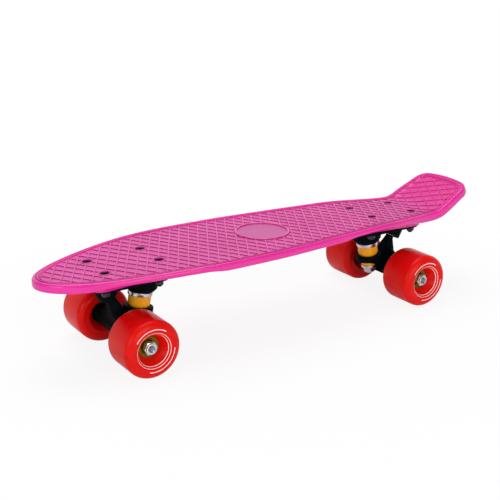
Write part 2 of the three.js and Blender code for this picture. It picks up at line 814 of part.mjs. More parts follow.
function hangerGeometry() {
  const across = (geometry) => geometry.translate(axleReach, 0, axleZ);
  const barrel = across(turned([
    [0, -hangerHalfWidth],
    [barrelEndRadius, -hangerHalfWidth],
    [barrelMiddleRadius, -barrelMiddleHalf],
    [barrelMiddleRadius, barrelMiddleHalf],
    [barrelEndRadius, hangerHalfWidth],
    [0, hangerHalfWidth],
  ], rodFacets));
  const roller = (radius, half) => turned([[0, -half], [radius, -half], [radius, half], [0, half]], rodFacets);
  const armZ = armHeight - mountHeight + seatGap;
  const armFoot = () => roller(armRadius, armHalfWidth).translate(armReach, 0, armZ);
  const neck = onPivot(rod(pivotNubRadius, -2 * pivotCupMouth, -pivotCupMouth - fitGap, rodFacets));
  const nub = onPivot(turnedUp([
    ...domePoints(pivotNubRadius),
    [pivotNubRadius, -2 * pivotCupMouth],
    [0, -2 * pivotCupMouth],
  ], rodFacets));
  const disc = (radius) => onKingpin(rod(radius, -ringThickness / 2, ringThickness / 2, ringFacets));
  const wings = hullOf(armFoot(), across(roller(wingRadius, wingHalfWidth)));
  const arm = hullOf(armFoot(), neck);
  const web = hullOf(disc(webRingRadius), across(roller(webRadius, barrelMiddleHalf)));
  let body = joined([solid(barrel), wings, arm, solid(nub), solid(disc(ringRadius)), web]);
  const bore = rod(clearRadius(ringBoreRadius, bushingFacets), -ringRadius, ringRadius, bushingFacets);
  const upperSeat = rod(
    clearRadius(upperSeatRadius, bushingFacets), ringThickness / 2 - seatDepth, ringRadius, bushingFacets);
  const lowerSeatCut = clearRadius(lowerSeatRadius, bushingFacets);
  const lowerSeat = turnedUp([
    [0, -kingpinTail - overrun],
    [nutSweepRadius, -kingpinTail - overrun],
    [lowerSeatCut + seatDepth / 2, -ringThickness / 2],
    [lowerSeatCut, (seatDepth - ringThickness) / 2],
    [lowerSeatCut, seatDepth - ringThickness / 2],
    [0, seatDepth - ringThickness / 2],
  ], bushingFacets);
  for (const cut of [bore, upperSeat, lowerSeat]) body = body.subtract(solid(onKingpin(cut)));
  const axleHole = across(roller(clearRadius(axleRadius, rodFacets), hangerHalfWidth + overrun));
  return geometryOf(body.subtract(solid(axleHole)));
}

function axleGeometry() {
  return turned([
    [0, -axleHalfLength],
    [axleRadius, -axleHalfLength],
    [axleRadius, axleHalfLength],
    [0, axleHalfLength],
  ], rodFacets).translate(axleReach, 0, axleZ);
}

// Wheel pieces are turned about the axle, from radius and distance out from the board's centre line.
const innerBearingStart = hangerHalfWidth + bearingFromHanger;
const outerBearingStart = innerBearingStart + bearingWidth + bearingSpacing;
const outerBearingEnd = outerBearingStart + bearingWidth;

function onSide(profile, side, facets) {
  return turned(profile.map(([radius, out]) => [radius, side * out]), facets);
}

function wheelGeometry(side) {
  const centre = wheelTrack / 2;
  const treadRadius = wheelRadius / Math.cos(Math.PI / wheelFacets);
  const seatRadius = clearRadius(bearingRadius, wheelFacets);
  const [inner, outer] = [centre - wheelWidth / 2, centre + wheelWidth / 2];
  const shoulder = treadRadius - shoulderDrop;
  return onSide([
    [treadRadius, centre - treadWidth / 2],
    [treadRadius, centre + treadWidth / 2],
    [shoulder, outer - shoulderDrop],
    [faceRadius, outer],
    [recessRadius, outer],
    [seatRadius, outerBearingEnd + fitGap],
    [seatRadius, outerBearingStart - fitGap],
    [coreBoreRadius, outerBearingStart - fitGap],
    [coreBoreRadius, innerBearingStart + bearingWidth + fitGap],
    [seatRadius, innerBearingStart + bearingWidth + fitGap],
    [seatRadius, innerBearingStart - fitGap],
    [recessRadius, inner],
    [faceRadius, inner],
    [shoulder, inner + shoulderDrop],
  ], side, wheelFacets);
}

function bearingGeometry(side, start) {
  return onSide([
    [bearingRadius, start],
    [bearingRadius, start + bearingWidth],
    [bearingShieldRadius, start + bearingWidth],
    [bearingInnerRadius, start + bearingWidth - bearingShieldSink],
    [bearingInnerRadius, start + bearingShieldSink],
    [bearingShieldRadius, start],
  ], side, bearingFacets);
}

function sleeveGeometry(side) {
  const bore = clearRadius(axleRadius, rodFacets);
  return onSide([
    [bore, innerBearingStart - bearingFromHanger / 2],
    [sleeveRadius, innerBearingStart - bearingFromHanger / 2],
    [sleeveRadius, outerBearingEnd],
    [bore, outerBearingEnd],
  ], side, rodFacets);
}

function axleNutGeometry(side) {
  const start = outerBearingEnd + fitGap;
  const overlap = axleWasherThickness / 2;
  const washer = rod(axleWasherRadius, start, start + axleWasherThickness, rodFacets);
  const nut = hexNut(axleNutFlats, start + overlap, axleNutHeight + overlap, axleRadius);
  const bore = rod(clearRadius(axleRadius, rodFacets), start - overrun, start + 2 * overrun, rodFacets);
  const body = solid(washer).subtract(solid(bore)).add(nut);
  return geometryOf(body).rotateX(-side * Math.PI / 2);
}

function deckBoltGeometry(s) {
  const top = fieldHeight - sagAt(s) - boltHeadSink;
  const bottom = mountHeight - seatGap - flangeThickness - fitGap - boltNutHeight - boltProtrusion;
  return turnedUp([
    [0, bottom],
    [boltRadius, bottom],
    [boltRadius, top - boltHeadDepth],
    [boltHeadRadius, top],
    [0, top],
  ], boltFacets);
}

function deckNutGeometry() {
  const low = mountHeight - seatGap - flangeThickness - fitGap - boltNutHeight;
  return geometryOf(hexNut(boltNutFlats, low, boltNutHeight, boltRadius, boltFacets));
}

function piece(name, geometry, finish) {
  const { corners, triangles } = closedMesh(geometry);
  const mesh = new THREE.Mesh(bufferGeometry(corners, triangles), new THREE.MeshStandardMaterial(paint[finish]));
  mesh.name = name;
  return mesh;
}

function truck(end) {
  const group = new THREE.Group();
  group.add(
    piece(`${end}_baseplate`, baseplateGeometry(), 'casting'),
    piece(`${end}_pivot_cup`, pivotCupGeometry(), 'nylon'),
    piece(`${end}_kingpin`, kingpinGeometry(), 'steel'),
    piece(`${end}_kingpin_nut`, kingpinNutGeometry(), 'steel'),
    piece(`${end}_upper_bushing`, upperBushingGeometry(), 'urethane'),
    piece(`${end}_lower_bushing`, lowerBushingGeometry(), 'urethane'),
    piece(`${end}_upper_washer`, upperWasherGeometry(), 'steel'),
    piece(`${end}_lower_washer`, lowerWasherGeometry(), 'steel'),
    piece(`${end}_hanger`, hangerGeometry(), 'casting'),
    piece(`${end}_axle`, axleGeometry(), 'steel'),
  );
  return group;
}

function wheelSet(end, sideName) {
  const side = sideName === 'left' ? -1 : 1;
  const group = new THREE.Group();
  group.add(
    piece(`${end}_${sideName}_wheel`, wheelGeometry(side), 'wheel'),
    piece(`${end}_${sideName}_inboard_bearing`, bearingGeometry(side, innerBearingStart), 'shield'),
    piece(`${end}_${sideName}_outboard_bearing`, bearingGeometry(side, outerBearingStart), 'shield'),
    piece(`${end}_${sideName}_bearing_sleeve`, sleeveGeometry(side), 'steel'),
    piece(`${end}_${sideName}_axle_nut`, axleNutGeometry(side), 'steel'),
  );
  return group;
}

const skateboard = new THREE.Group();
skateboard.add(piece('deck', deckGeometry(), 'deck'));

for (const [end, truckX, outwards] of [['front', frontTruckX, -1], ['rear', rearTruckX, 1]]) {
  const assembly = truck(end);
  assembly.position.set(truckX, 0, mountHeight - seatGap);
  assembly.rotation.z = outwards < 0 ? Math.PI : 0;
  skateboard.add(assembly);

  for (const sideName of ['left', 'right']) {
    const wheels = wheelSet(end, sideName);
    wheels.position.set(truckX + outwards * axleReach, 0, axleHeight);
    skateboard.add(wheels);
  }

  boltPlaces(truckX).forEach((place, index) => {
    const bolt = piece(`${end}_deck_bolt_${index + 1}`, deckBoltGeometry(place.x), 'blackSteel');
    const nut = piece(`${end}_deck_nut_${index + 1}`, deckNutGeometry(), 'steel');
    bolt.position.copy(place);
    nut.position.copy(place);
    skateboard.add(bolt, nut);
  });
}

export default skateboard;
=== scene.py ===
# %% [markdown]
# # A small plastic cruiser skateboard
#
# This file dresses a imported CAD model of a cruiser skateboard: a moulded plastic deck with a waffle grip,
# two sprung cast trucks and four urethane wheels. The CAD model fixes every size and every joint. Here each
# piece gets the roundings, the fine relief and the finish that the real one has.
#
# All lengths are metres. The nose points to -X, the tail to +X, and Z is up from the floor.

import json
import math

import bmesh
import bpy
from mathutils import Matrix, Vector

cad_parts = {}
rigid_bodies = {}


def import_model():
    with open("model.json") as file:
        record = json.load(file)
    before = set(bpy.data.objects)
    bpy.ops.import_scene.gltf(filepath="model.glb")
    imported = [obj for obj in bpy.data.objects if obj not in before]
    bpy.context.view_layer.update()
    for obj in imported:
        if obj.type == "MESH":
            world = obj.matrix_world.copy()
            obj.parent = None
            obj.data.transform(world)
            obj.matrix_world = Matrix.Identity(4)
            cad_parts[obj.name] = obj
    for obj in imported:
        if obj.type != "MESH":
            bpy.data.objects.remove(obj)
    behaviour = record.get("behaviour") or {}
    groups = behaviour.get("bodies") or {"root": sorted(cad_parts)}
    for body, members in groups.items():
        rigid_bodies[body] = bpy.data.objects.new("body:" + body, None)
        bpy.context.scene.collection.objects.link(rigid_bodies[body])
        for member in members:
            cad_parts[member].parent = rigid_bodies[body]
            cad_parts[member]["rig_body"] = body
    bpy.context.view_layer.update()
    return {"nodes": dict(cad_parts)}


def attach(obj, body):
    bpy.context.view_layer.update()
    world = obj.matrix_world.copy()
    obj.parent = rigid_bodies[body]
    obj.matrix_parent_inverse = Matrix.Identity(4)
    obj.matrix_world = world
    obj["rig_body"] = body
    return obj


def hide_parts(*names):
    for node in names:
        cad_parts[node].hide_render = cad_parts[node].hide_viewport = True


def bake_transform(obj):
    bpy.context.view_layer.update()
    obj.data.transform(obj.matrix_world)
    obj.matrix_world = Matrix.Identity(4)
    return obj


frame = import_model()
MM = 0.001
# Two heights that lie closer than this count as one
HAIR = 0.1 * MM

# %% [markdown]
# ## The camera
#
# The camera stands where the photographer stood: in front of the nose, to the rider's left, about a metre
# away and a little above the deck. A focal length near 72 mm keeps the perspective calm. The camera's own
# axes are worked out from its azimuth and elevation, which is easier to check than Euler angles.

# %% Camera
CAMERA_PLACE = Vector((-587.38, -854.95, 425.82)) * MM
CAMERA_AZIMUTH = math.radians(-33.46)
CAMERA_ELEVATION = math.radians(18.56)
CAMERA_ROLL = math.radians(0.18)
FOCAL_LENGTH = 71.65

back = Vector((
    math.sin(CAMERA_AZIMUTH) * math.cos(CAMERA_ELEVATION),
    -math.cos(CAMERA_AZIMUTH) * math.cos(CAMERA_ELEVATION),
    math.sin(CAMERA_ELEVATION),
))
level = Vector((math.cos(CAMERA_AZIMUTH), math.sin(CAMERA_AZIMUTH), 0))
right = Matrix.Rotation(CAMERA_ROLL, 3, back) @ level
upward = back.cross(right)
camera = bpy.data.objects.new("camera", bpy.data.cameras.new("camera"))
bpy.context.scene.collection.objects.link(camera)
axes = Matrix((right, upward, back)).transposed().to_4x4()
camera.matrix_world = Matrix.Translation(CAMERA_PLACE) @ axes
camera.data.sensor_width = 36
camera.data.lens = FOCAL_LENGTH
camera.data.clip_start = 0.01
bpy.context.scene.camera = camera
print("camera:", tuple(round(v, 3) for v in camera.location), "lens", camera.data.lens)

# %% [markdown]
# ## Working by hand, in code
#
# Blender's operators act on whatever is selected, so each step starts from a clean selection. A few small
# helpers do that: one makes an object the only one selected, one opens it in edit mode, and one selects
# just the faces or edges that pass a test. The others are the steps that nearly every piece needs.

# %% Selection helpers
def take(obj):
    """Makes obj the only selected object."""
    if bpy.context.mode != "OBJECT":
        bpy.ops.object.mode_set(mode="OBJECT")
    bpy.ops.object.select_all(action="DESELECT")
    obj.select_set(True)
    bpy.context.view_layer.objects.active = obj


def edit(obj):
    """Opens obj in edit mode with everything selected."""
    take(obj)
    bpy.ops.object.mode_set(mode="EDIT")
    bpy.ops.mesh.select_mode(type="VERT")
    bpy.ops.mesh.select_all(action="SELECT")


def done():
    """Leaves edit mode."""
    bpy.ops.object.mode_set(mode="OBJECT")


def pick(obj, kind, test):
    """In edit mode, selects just the faces or edges that pass the test, and says how many there are."""
    bpy.ops.mesh.select_mode(type=kind)
    bpy.ops.mesh.select_all(action="DESELECT")
    shape = bmesh.from_edit_mesh(obj.data)
    chosen = [element for element in (shape.faces if kind == "FACE" else shape.edges) if test(element)]
    for element in chosen:
        element.select_set(True)
    bmesh.update_edit_mesh(obj.data)
    return len(chosen)


def extrude_up(height):
    """Extrudes the selected faces straight up, or down."""
    bpy.ops.mesh.extrude_region_move(TRANSFORM_OT_translate={"value": (0, 0, height)})


def cut_through(point, normal, **settings):
    """Cuts the whole mesh along a plane."""
    bpy.ops.mesh.select_all(action="SELECT")
    bpy.ops.mesh.bisect(plane_co=point, plane_no=normal, threshold=1e-6, **settings)


def discard(*objects):
    """Throws patterns and tools away."""
    for obj in objects:
        bpy.data.objects.remove(obj, do_unlink=True)


def outwards(obj):
    """Merges doubled corners and turns every face outwards."""
    edit(obj)
    bpy.ops.mesh.remove_doubles(threshold=1e-6)
    bpy.ops.mesh.normals_make_consistent(inside=False)
    done()


def modify(obj, kind, **settings):
    """Adds one modifier and applies it, as the Apply button does."""
    take(obj)
    modifier = obj.modifiers.new(kind.lower(), kind)
    for name, value in settings.items():
        setattr(modifier, name, value)
    bpy.ops.object.modifier_apply(modifier=modifier.name)


def combine(obj, tools, operation):
    """Joins or cuts obj with each tool by a boolean, and throws the tools away."""
    for tool in tools:
        modify(obj, "BOOLEAN", object=tool, operation=operation, solver="EXACT")
        discard(tool)


# %% [markdown]
# ## Making round pieces
#
# Most of the small pieces are turned: washers, bushings, bolts, wheels. A turned piece starts as a single
# corner, which is extruded along half of the piece's section and then spun about the Z axis. The section is
# a list of radius and height pairs in millimetres. Where it starts and ends on the axis, the spin closes by
# itself, and where it is a ring, its last point repeats its first.

# %% Turned pieces
def named(name):
    """The object that an operator has just made, with its name."""
    obj = bpy.context.object
    obj.name = obj.data.name = name
    return obj


def turn(name, section, steps=64):
    """Spins a section of (radius, height) pairs in millimetres about Z."""
    bpy.ops.object.select_all(action="DESELECT")
    bpy.ops.mesh.primitive_plane_add(size=MM)
    obj = named(name)
    edit(obj)
    bpy.ops.mesh.merge(type="CENTER")
    bpy.ops.transform.translate(value=(section[0][0] * MM, 0, section[0][1] * MM))
    for (radius, height), (next_radius, next_height) in zip(section, section[1:]):
        step = ((next_radius - radius) * MM, 0, (next_height - height) * MM)
        bpy.ops.mesh.extrude_vertices_move(TRANSFORM_OT_translate={"value": step})
    bpy.ops.mesh.select_all(action="SELECT")
    bpy.ops.mesh.spin(steps=steps, angle=2 * math.pi, center=(0, 0, 0), axis=(0, 0, 1))
    outwards(obj)
    return obj


def rounded(section, radius, steps=3):
    """Rounds each corner of a closed section: a short arc takes the corner's place."""
    points = []
    count = len(section) - 1
    for i in range(count):
        before, here, after = (Vector(section[k % count]) for k in (i - 1, i, i + 1))
        back_way, on_way = before - here, after - here
        reach = min(radius, back_way.length * 0.45, on_way.length * 0.45)
        start = here + back_way.normalized() * reach
        end = here + on_way.normalized() * reach
        for k in range(steps + 1):
            t = k / steps
            points.append(tuple(start * (1 - t) ** 2 + here * 2 * t * (1 - t) + end * t**2))
    return points + points[:1]


def place(obj, matrix):
    """Moves a piece by moving its corners, so that its object stays at the origin."""
    obj.data.transform(matrix)
    if matrix.determinant() < 0:
        obj.data.flip_normals()
    obj.data.update()
    return obj


def copy_piece(obj, name, matrix):
    """Another copy of a piece, with a mesh of its own, in its own place."""
    made = obj.copy()
    made.data = obj.data.copy()
    made.name = made.data.name = name
    bpy.context.scene.collection.objects.link(made)
    return place(made, matrix)


def soften(obj, degrees=35):
    """Shades smooth over shallow corners and sharp over steep ones."""
    take(obj)
    bpy.ops.object.shade_smooth_by_angle(angle=math.radians(degrees))
    return obj


# %% [markdown]
# ## Materials
#
# Every finish is a Principled shader with a few nodes in front of it. Colours are written as the hex values
# that a paint chart gives and turned to linear light by one function. One more function adds a node with
# its settings and its links, so that each material below reads as a list of what it is made of. A noise
# texture shows one lump in each step of 1 / Scale, so its scale is worked out from the size of the real
# pattern.

# %% Material helpers
def linear(hex_colour):
    """An sRGB hex value as linear red, green, blue and alpha."""
    channels = [int(hex_colour[i:i + 2], 16) / 255 for i in (1, 3, 5)]
    return [c / 12.92 if c <= 0.04045 else ((c + 0.055) / 1.055) ** 2.4 for c in channels] + [1]


def connect(tree, node, inputs):
    """Sets a node's inputs to values, or links them to the sockets that feed them."""
    for name, value in dict(inputs).items():
        if isinstance(value, bpy.types.NodeSocket):
            tree.links.new(value, node.inputs[name])
        else:
            node.inputs[name].default_value = value
    return node


def add(tree, kind, settings=(), inputs=()):
    """Adds a node: settings are its own properties, and inputs are values or sockets."""
    made = tree.nodes.new("ShaderNode" + kind)
    for name, value in dict(settings).items():
        setattr(made, name, value)
    return connect(tree, made, inputs)


def finish_named(name):
    """A new material with its tree, its shader and its object coordinates."""
    material = bpy.data.materials.new(name)
    material.use_nodes = True
    tree = material.node_tree
    return material, tree, tree.nodes["Principled BSDF"], add(tree, "TexCoord").outputs["Object"]


# Most of a noise texture's values lie in this range
CLOUD_SPAN = {"From Min": 0.3, "From Max": 0.7}


def vary(tree, shader, cloud, colours, glosses):
    """Runs the colour and the roughness from their first to their second value along a noise texture."""
    share = add(tree, "MapRange", inputs={"Value": cloud, **CLOUD_SPAN}).outputs["Result"]
    colour = add(tree, "Mix", {"data_type": "RGBA"}, {0: share, 6: linear(colours[0]), 7: linear(colours[1])})
    gloss = add(tree, "MapRange", inputs={
        "Value": cloud, **CLOUD_SPAN, "To Min": glosses[0], "To Max": glosses[1],
    })
    connect(tree, shader, {"Base Color": colour.outputs[2], "Roughness": gloss.outputs["Result"]})


# %% [markdown]
# ## The deck's plastic
#
# The deck is injection-moulded polypropylene, coloured right through. Off a polished mould its lip is
# glossy, with the faint orange peel that thick plastic shows as it shrinks. The field between the ridges
# comes off a matted part of the mould, so it scatters the light more, and its paler colour is a painted
# sheen that stands for the white sky it faces. The plaque is finer and duller still, and its greyer colour
# is a painted reflection. Grooves and the sides of the ridges get a deeper pink, which is painted shade. On
# the tail the matting is fainter, so the field turns glossier there, and the painted sheen and the painted
# shade give way to a deeper pink. Real shrinkage waves are about 6 mm long, and the matting is finer than a
# render can show, so it is drawn at 0.5 mm.

# %% Deck plastic
SHRINKAGE_WAVE, FLOW_STREAK, MATTING = 6.25 * MM, 71.5 * MM, 0.5 * MM
WAVE_DEPTH = 0.03 * MM
# From the kick on, the painted sheen and the painted shade fade to this deeper pink
TAIL_PINK = "#DF2D92"
TAIL_STARTS, TAIL_REACHED = 203 * MM, 230 * MM
TAIL_ROUGHNESS = 0.75


def deck_plastic(name, roughness, grain_depth, low, high):
    """Moulded polypropylene with shrinkage waves and a mould finish."""
    material, tree, shader, coords = finish_named(name)
    waves = add(tree, "TexNoise", inputs={"Vector": coords, "Scale": 1 / SHRINKAGE_WAVE, "Detail": 1})
    flow = add(tree, "TexNoise", inputs={"Vector": coords, "Scale": 1 / FLOW_STREAK, "Detail": 3})
    grain = add(tree, "TexNoise", inputs={"Vector": coords, "Scale": 1 / MATTING, "Detail": 1})
    vary(tree, shader, flow.outputs["Fac"], (low, high), (roughness - 0.03, roughness + 0.04))
    height = add(tree, "Math", {"operation": "MULTIPLY_ADD"}, {
        0: grain.outputs["Fac"], 1: grain_depth, 2: waves.outputs["Fac"],
    })
    relief = add(tree, "Bump", inputs={"Height": height.outputs[0], "Distance": WAVE_DEPTH})
    connect(tree, shader, {"Normal": relief.outputs["Normal"], "IOR": 1.49})
    return material


def gloss_on_tail(material):
    """Turns a deck finish to the tail's deeper and glossier pink from the kick on, where painted sheen and
    shade give way.
    """
    tree = material.node_tree
    shader = tree.nodes["Principled BSDF"]
    colour, matt = (shader.inputs[name].links[0].from_socket for name in ("Base Color", "Roughness"))
    along = add(tree, "SeparateXYZ", inputs={0: add(tree, "TexCoord").outputs["Object"]}).outputs["X"]
    share = add(tree, "MapRange", inputs={
        "Value": along, "From Min": TAIL_STARTS, "From Max": TAIL_REACHED,
    }).outputs["Result"]
    pink = add(tree, "Mix", {"data_type": "RGBA"}, {0: share, 6: colour, 7: linear(TAIL_PINK)})
    polish = add(tree, "MapRange", inputs={"Value": share, "To Min": 1, "To Max": TAIL_ROUGHNESS})
    gloss = add(tree, "Math", {"operation": "MULTIPLY"}, {0: matt, 1: polish.outputs["Result"]})
    connect(tree, shader, {"Base Color": pink.outputs[2], "Roughness": gloss.outputs[0]})


# The polished lip mirrors the room softly, and the matted field is painted paler: a painted sheen of the sky
lip_plastic = deck_plastic("moulded polypropylene, polished", 0.24, 0.05, "#EA2A9F", "#DC1F90")
field_sheen_plastic = deck_plastic("moulded polypropylene, matted", 0.38, 0.6, "#DB49A5", "#D3409D")
# Grooves get a deeper pink, which is painted shade, and the plaque a greyer one, which is painted reflection
groove_shade_plastic = deck_plastic("moulded polypropylene, in the grooves", 0.5, 0.3, "#AC1470", "#A01066")
plaque_reflection_plastic = deck_plastic("moulded polypropylene, fine matt", 0.45, 0.4, "#C74A96", "#C04490")
for finish in (field_sheen_plastic, groove_shade_plastic):
    gloss_on_tail(finish)
deck_finishes = (lip_plastic, field_sheen_plastic, groove_shade_plastic, plaque_reflection_plastic)
LIP, FIELD, GROOVE_SHADE, PLAQUE = range(4)
print("deck plastics:", [finish.name for finish in deck_finishes])

# %% [markdown]
# ## The deck's outline
#
# Seen from above the deck is a blunt ellipse at the nose, a long side that narrows to a waist in front of
# the tail, and a tail with two round corners and a slightly crowned end. The side is a spline through a
# handful of stations, as a board shaper draws it. The outline is worked out for the flat deck: s runs along
# the board, and the tail is bent up later.

# %% Deck outline
DECK_LENGTH = 539.6 * MM
HALF_WIDTH = 71.8 * MM
NOSE_X = -DECK_LENGTH / 2
FRONT_TRUCK_X = NOSE_X + 95 * MM
REAR_TRUCK_X = FRONT_TRUCK_X + 336 * MM
MIDDLE_X = (FRONT_TRUCK_X + REAR_TRUCK_X) / 2
FIELD_HEIGHT = 100.1 * MM
KICK_X = REAR_TRUCK_X + 42.3 * MM
KICK_RADIUS = 38 * MM
KICK_ANGLE = math.radians(26.6)
KICK_ARC = KICK_RADIUS * KICK_ANGLE
TAIL_DROP = 6.8 * MM
KICK_REACH = (KICK_RADIUS + TAIL_DROP) * math.sin(KICK_ANGLE)
KICK_FLAT = (DECK_LENGTH / 2 - KICK_X - KICK_REACH) / math.cos(KICK_ANGLE)
TAIL_S = KICK_X + KICK_ARC + KICK_FLAT
FLAT_LENGTH = TAIL_S - NOSE_X
WIDEST_S = NOSE_X + FLAT_LENGTH * 0.3353
NOSE_BLUNTNESS = 1.66
TAIL_EDGE_RADIUS = 160 * MM
TAIL_CORNER_RADIUS = 17.5 * MM
TAIL_HALF_WIDTH = 41.3 * MM
SIDE_SHARES = [(0.4505, 0.984), (0.5464, 0.925), (0.6428, 0.852), (0.7361, 0.775), (0.8011, 0.692),
               (0.864, 0.605), (0.9097, 0.619)]
NOSE_STEPS, SIDE_STEPS, CORNER_STEPS, TAIL_STEPS = 44, 8, 10, 6


def spline(stations, steps):
    """Points on a smooth curve through the stations, without the last one."""
    points, last = [], len(stations) - 1
    for i in range(last):
        before, here, there, after = (Vector(stations[min(max(k, 0), last)]) for k in range(i - 1, i + 3))
        leave, arrive = (there - before) / 2, (after - here) / 2
        for k in range(steps):
            t = k / steps
            points.append((2 * (here - there) + leave + arrive) * t**3
                          + (3 * (there - here) - 2 * leave - arrive) * t**2 + leave * t + here)
    return points


def half_outline():
    """The outline's +Y half from the nose tip to the tail tip, as (s, y) vectors."""
    nose_run = WIDEST_S - NOSE_X
    nose = []
    for i in range(NOSE_STEPS):
        share = math.sin(math.pi / 2 * (1 - i / NOSE_STEPS))
        width = math.sqrt(max(1 - share**NOSE_BLUNTNESS, 0))
        nose.append(Vector((WIDEST_S - nose_run * share, HALF_WIDTH * width)))
    lean = math.asin((TAIL_HALF_WIDTH - TAIL_CORNER_RADIUS) / (TAIL_EDGE_RADIUS - TAIL_CORNER_RADIUS))
    big_centre = TAIL_S - TAIL_EDGE_RADIUS
    corner_s = big_centre + (TAIL_EDGE_RADIUS - TAIL_CORNER_RADIUS) * math.cos(lean)
    stations = [(WIDEST_S, HALF_WIDTH)]
    stations += [(NOSE_X + FLAT_LENGTH * along, HALF_WIDTH * across) for along, across in SIDE_SHARES]
    stations.append((corner_s, TAIL_HALF_WIDTH))
    side = spline(stations, SIDE_STEPS)
    tail = []
    for i in range(CORNER_STEPS):
        angle = math.pi / 2 + (lean - math.pi / 2) * i / CORNER_STEPS
        tail.append(Vector((corner_s, TAIL_HALF_WIDTH - TAIL_CORNER_RADIUS))
                    + TAIL_CORNER_RADIUS * Vector((math.cos(angle), math.sin(angle))))
    for i in range(TAIL_STEPS + 1):
        angle = lean * (1 - i / TAIL_STEPS)
        tail.append(Vector((big_centre, 0)) + TAIL_EDGE_RADIUS * Vector((math.cos(angle), math.sin(angle))))
    return nose + side + tail


half = half_outline()
outline = half + [Vector((p.x, -p.y)) for p in half[-2:0:-1]]
print("deck outline:", len(outline), "points, flat length", round(FLAT_LENGTH / MM, 1), "mm")

# %% [markdown]
# ## The deck's lip, groove and skirt
#
# The blank starts as a filled circle with as many corners as the outline, and each corner is moved to its
# place. The face is extruded down to make the skirt's outer wall. Then the top face is inset again and
# again: each inset is one step of the round lip, the groove, the flat band, a finer groove and the step
# down to the grip field. The outer side of each groove is a slope and its inner side is upright, which
# draws a clear line, and both grooves get a deeper pink, which is painted shade. The bottom face is inset
# in the same way to make the skirt's rounded foot, its inner wall and the underside of the plate. Insets
# keep their distance from the edge exactly, which is what a moulded rim needs.

# %% Deck blank
RIM_RISE = 1.3 * MM
LIP_RADIUS = 3 * MM
FOOT_RADIUS = 2.4 * MM
FOOT_WIDTH = 7 * MM
PLATE = 4 * MM
DEEPEST = 12 * MM

bpy.ops.object.select_all(action="DESELECT")
bpy.ops.mesh.primitive_circle_add(vertices=len(outline), radius=HALF_WIDTH, fill_type="NGON")
deck = named("deck_moulding")
for corner, point in zip(deck.data.vertices, outline):
    corner.co = (point.x, point.y, RIM_RISE - LIP_RADIUS)
for finish in deck_finishes:
    deck.data.materials.append(finish)

edit(deck)
extrude_up(LIP_RADIUS + FOOT_RADIUS - DEEPEST)
bpy.ops.mesh.select_all(action="SELECT")
bpy.ops.mesh.normals_make_consistent(inside=False)


def inset(*steps):
    """Insets the selected face once for each (inset, rise along its normal) pair in millimetres."""
    for thickness, depth in steps:
        bpy.ops.mesh.inset(thickness=thickness * MM, depth=depth * MM, use_even_offset=True)


def quarter_round(radius, count):
    """The insets that turn a wall into a face over a quarter circle."""
    angles = [math.pi / 2 * i / count for i in range(count + 1)]
    places = [(radius / MM * (1 - math.cos(a)), radius / MM * math.sin(a)) for a in angles]
    return [(b[0] - a[0], b[1] - a[1]) for a, b in zip(places, places[1:])]


def widest_face(obj, up):
    """A test for the widest face that looks up, or down."""
    shape = bmesh.from_edit_mesh(obj.data)
    facing = [face for face in shape.faces if (face.normal.z > 0.9) == up and abs(face.normal.z) > 0.9]
    area = max(face.calc_area() for face in facing)
    return lambda face: (face.normal.z > 0.9) == up and face.calc_area() >= area


def finish_selected(index):
    """Gives the selected face one of the deck's finishes. What is inset from it next has that finish too."""
    bpy.context.object.active_material_index = index
    bpy.ops.object.material_slot_assign()


pick(deck, "FACE", widest_face(deck, True))
inset(*quarter_round(LIP_RADIUS, 6), (0.4, -0.2), (0.6, -0.7))
# This groove and the finer one after it get a deeper pink, which is painted shade
finish_selected(GROOVE_SHADE)
inset((0.9, 0), (0.15, 0.7), (0.15, 0.2))
finish_selected(LIP)
inset((0.3, 0.1), (0.7, 0), (0.5, -0.6))
finish_selected(GROOVE_SHADE)
inset((0.5, 0), (0.1, 0.6))
finish_selected(LIP)
inset((0.2, 0), (0.3, -0.3), (0.3, -0.9), (0.3, -0.2))
finish_selected(FIELD)
pick(deck, "FACE", widest_face(deck, False))
inset(*quarter_round(FOOT_RADIUS, 4), ((FOOT_WIDTH - FOOT_RADIUS) / MM, 0),
      (0.8, (PLATE - DEEPEST + RIM_RISE) / MM))
done()
print("deck blank:", len(deck.data.polygons), "faces, lowest",
      round(min(v.co.z for v in deck.data.vertices) / MM, 2), "mm")

# %% [markdown]
# The skirt isn't equally deep all round. It is shallow over the wheels, so that they don't rub when the
# board leans, and deeper between them and at both ends, where it stiffens the plate. The corners of its
# foot are moved up or down by their place along the board.

# %% Skirt depth
AXLE_REACH = 7.3 * MM
FRONT_AXLE_X = FRONT_TRUCK_X - AXLE_REACH
REAR_AXLE_X = REAR_TRUCK_X + AXLE_REACH
MIDDLE_BLEND, END_BLEND = 24 * MM, 40 * MM
DEEP_TO_NOSE, DEEP_TO_TAIL = FRONT_AXLE_X - 14 * MM, REAR_AXLE_X + 28 * MM
DEEP_FROM_WHEEL, DEEP_TO_WHEEL = FRONT_AXLE_X + 66 * MM, REAR_AXLE_X - 88 * MM
SHALLOWEST, NOSE_MORE, MIDDLE_MORE, TAIL_MORE = 6.5 * MM, 3 * MM, 2 * MM, 4 * MM


def smooth(start, end, value):
    """A soft step from 0 to 1."""
    share = min(max((value - start) / (end - start), 0), 1)
    return share * share * (3 - 2 * share)


def skirt_depth(s):
    """How far the skirt's foot lies below the lip."""
    nose = 1 - smooth(DEEP_TO_NOSE - END_BLEND, DEEP_TO_NOSE, s)
    rise = smooth(DEEP_FROM_WHEEL, DEEP_FROM_WHEEL + MIDDLE_BLEND, s)
    fall = 1 - smooth(DEEP_TO_WHEEL - MIDDLE_BLEND, DEEP_TO_WHEEL, s)
    tail = smooth(DEEP_TO_TAIL - END_BLEND, DEEP_TO_TAIL, s)
    return SHALLOWEST + NOSE_MORE * nose + MIDDLE_MORE * rise * fall + TAIL_MORE * tail


for corner in deck.data.vertices:
    if corner.co.z < -PLATE - HAIR:
        corner.co.z += DEEPEST - skirt_depth(corner.co.x)
print("skirt:", [round(skirt_depth(x * MM) / MM, 1) for x in (-265, -182, 0, 168, 265)], "mm deep")

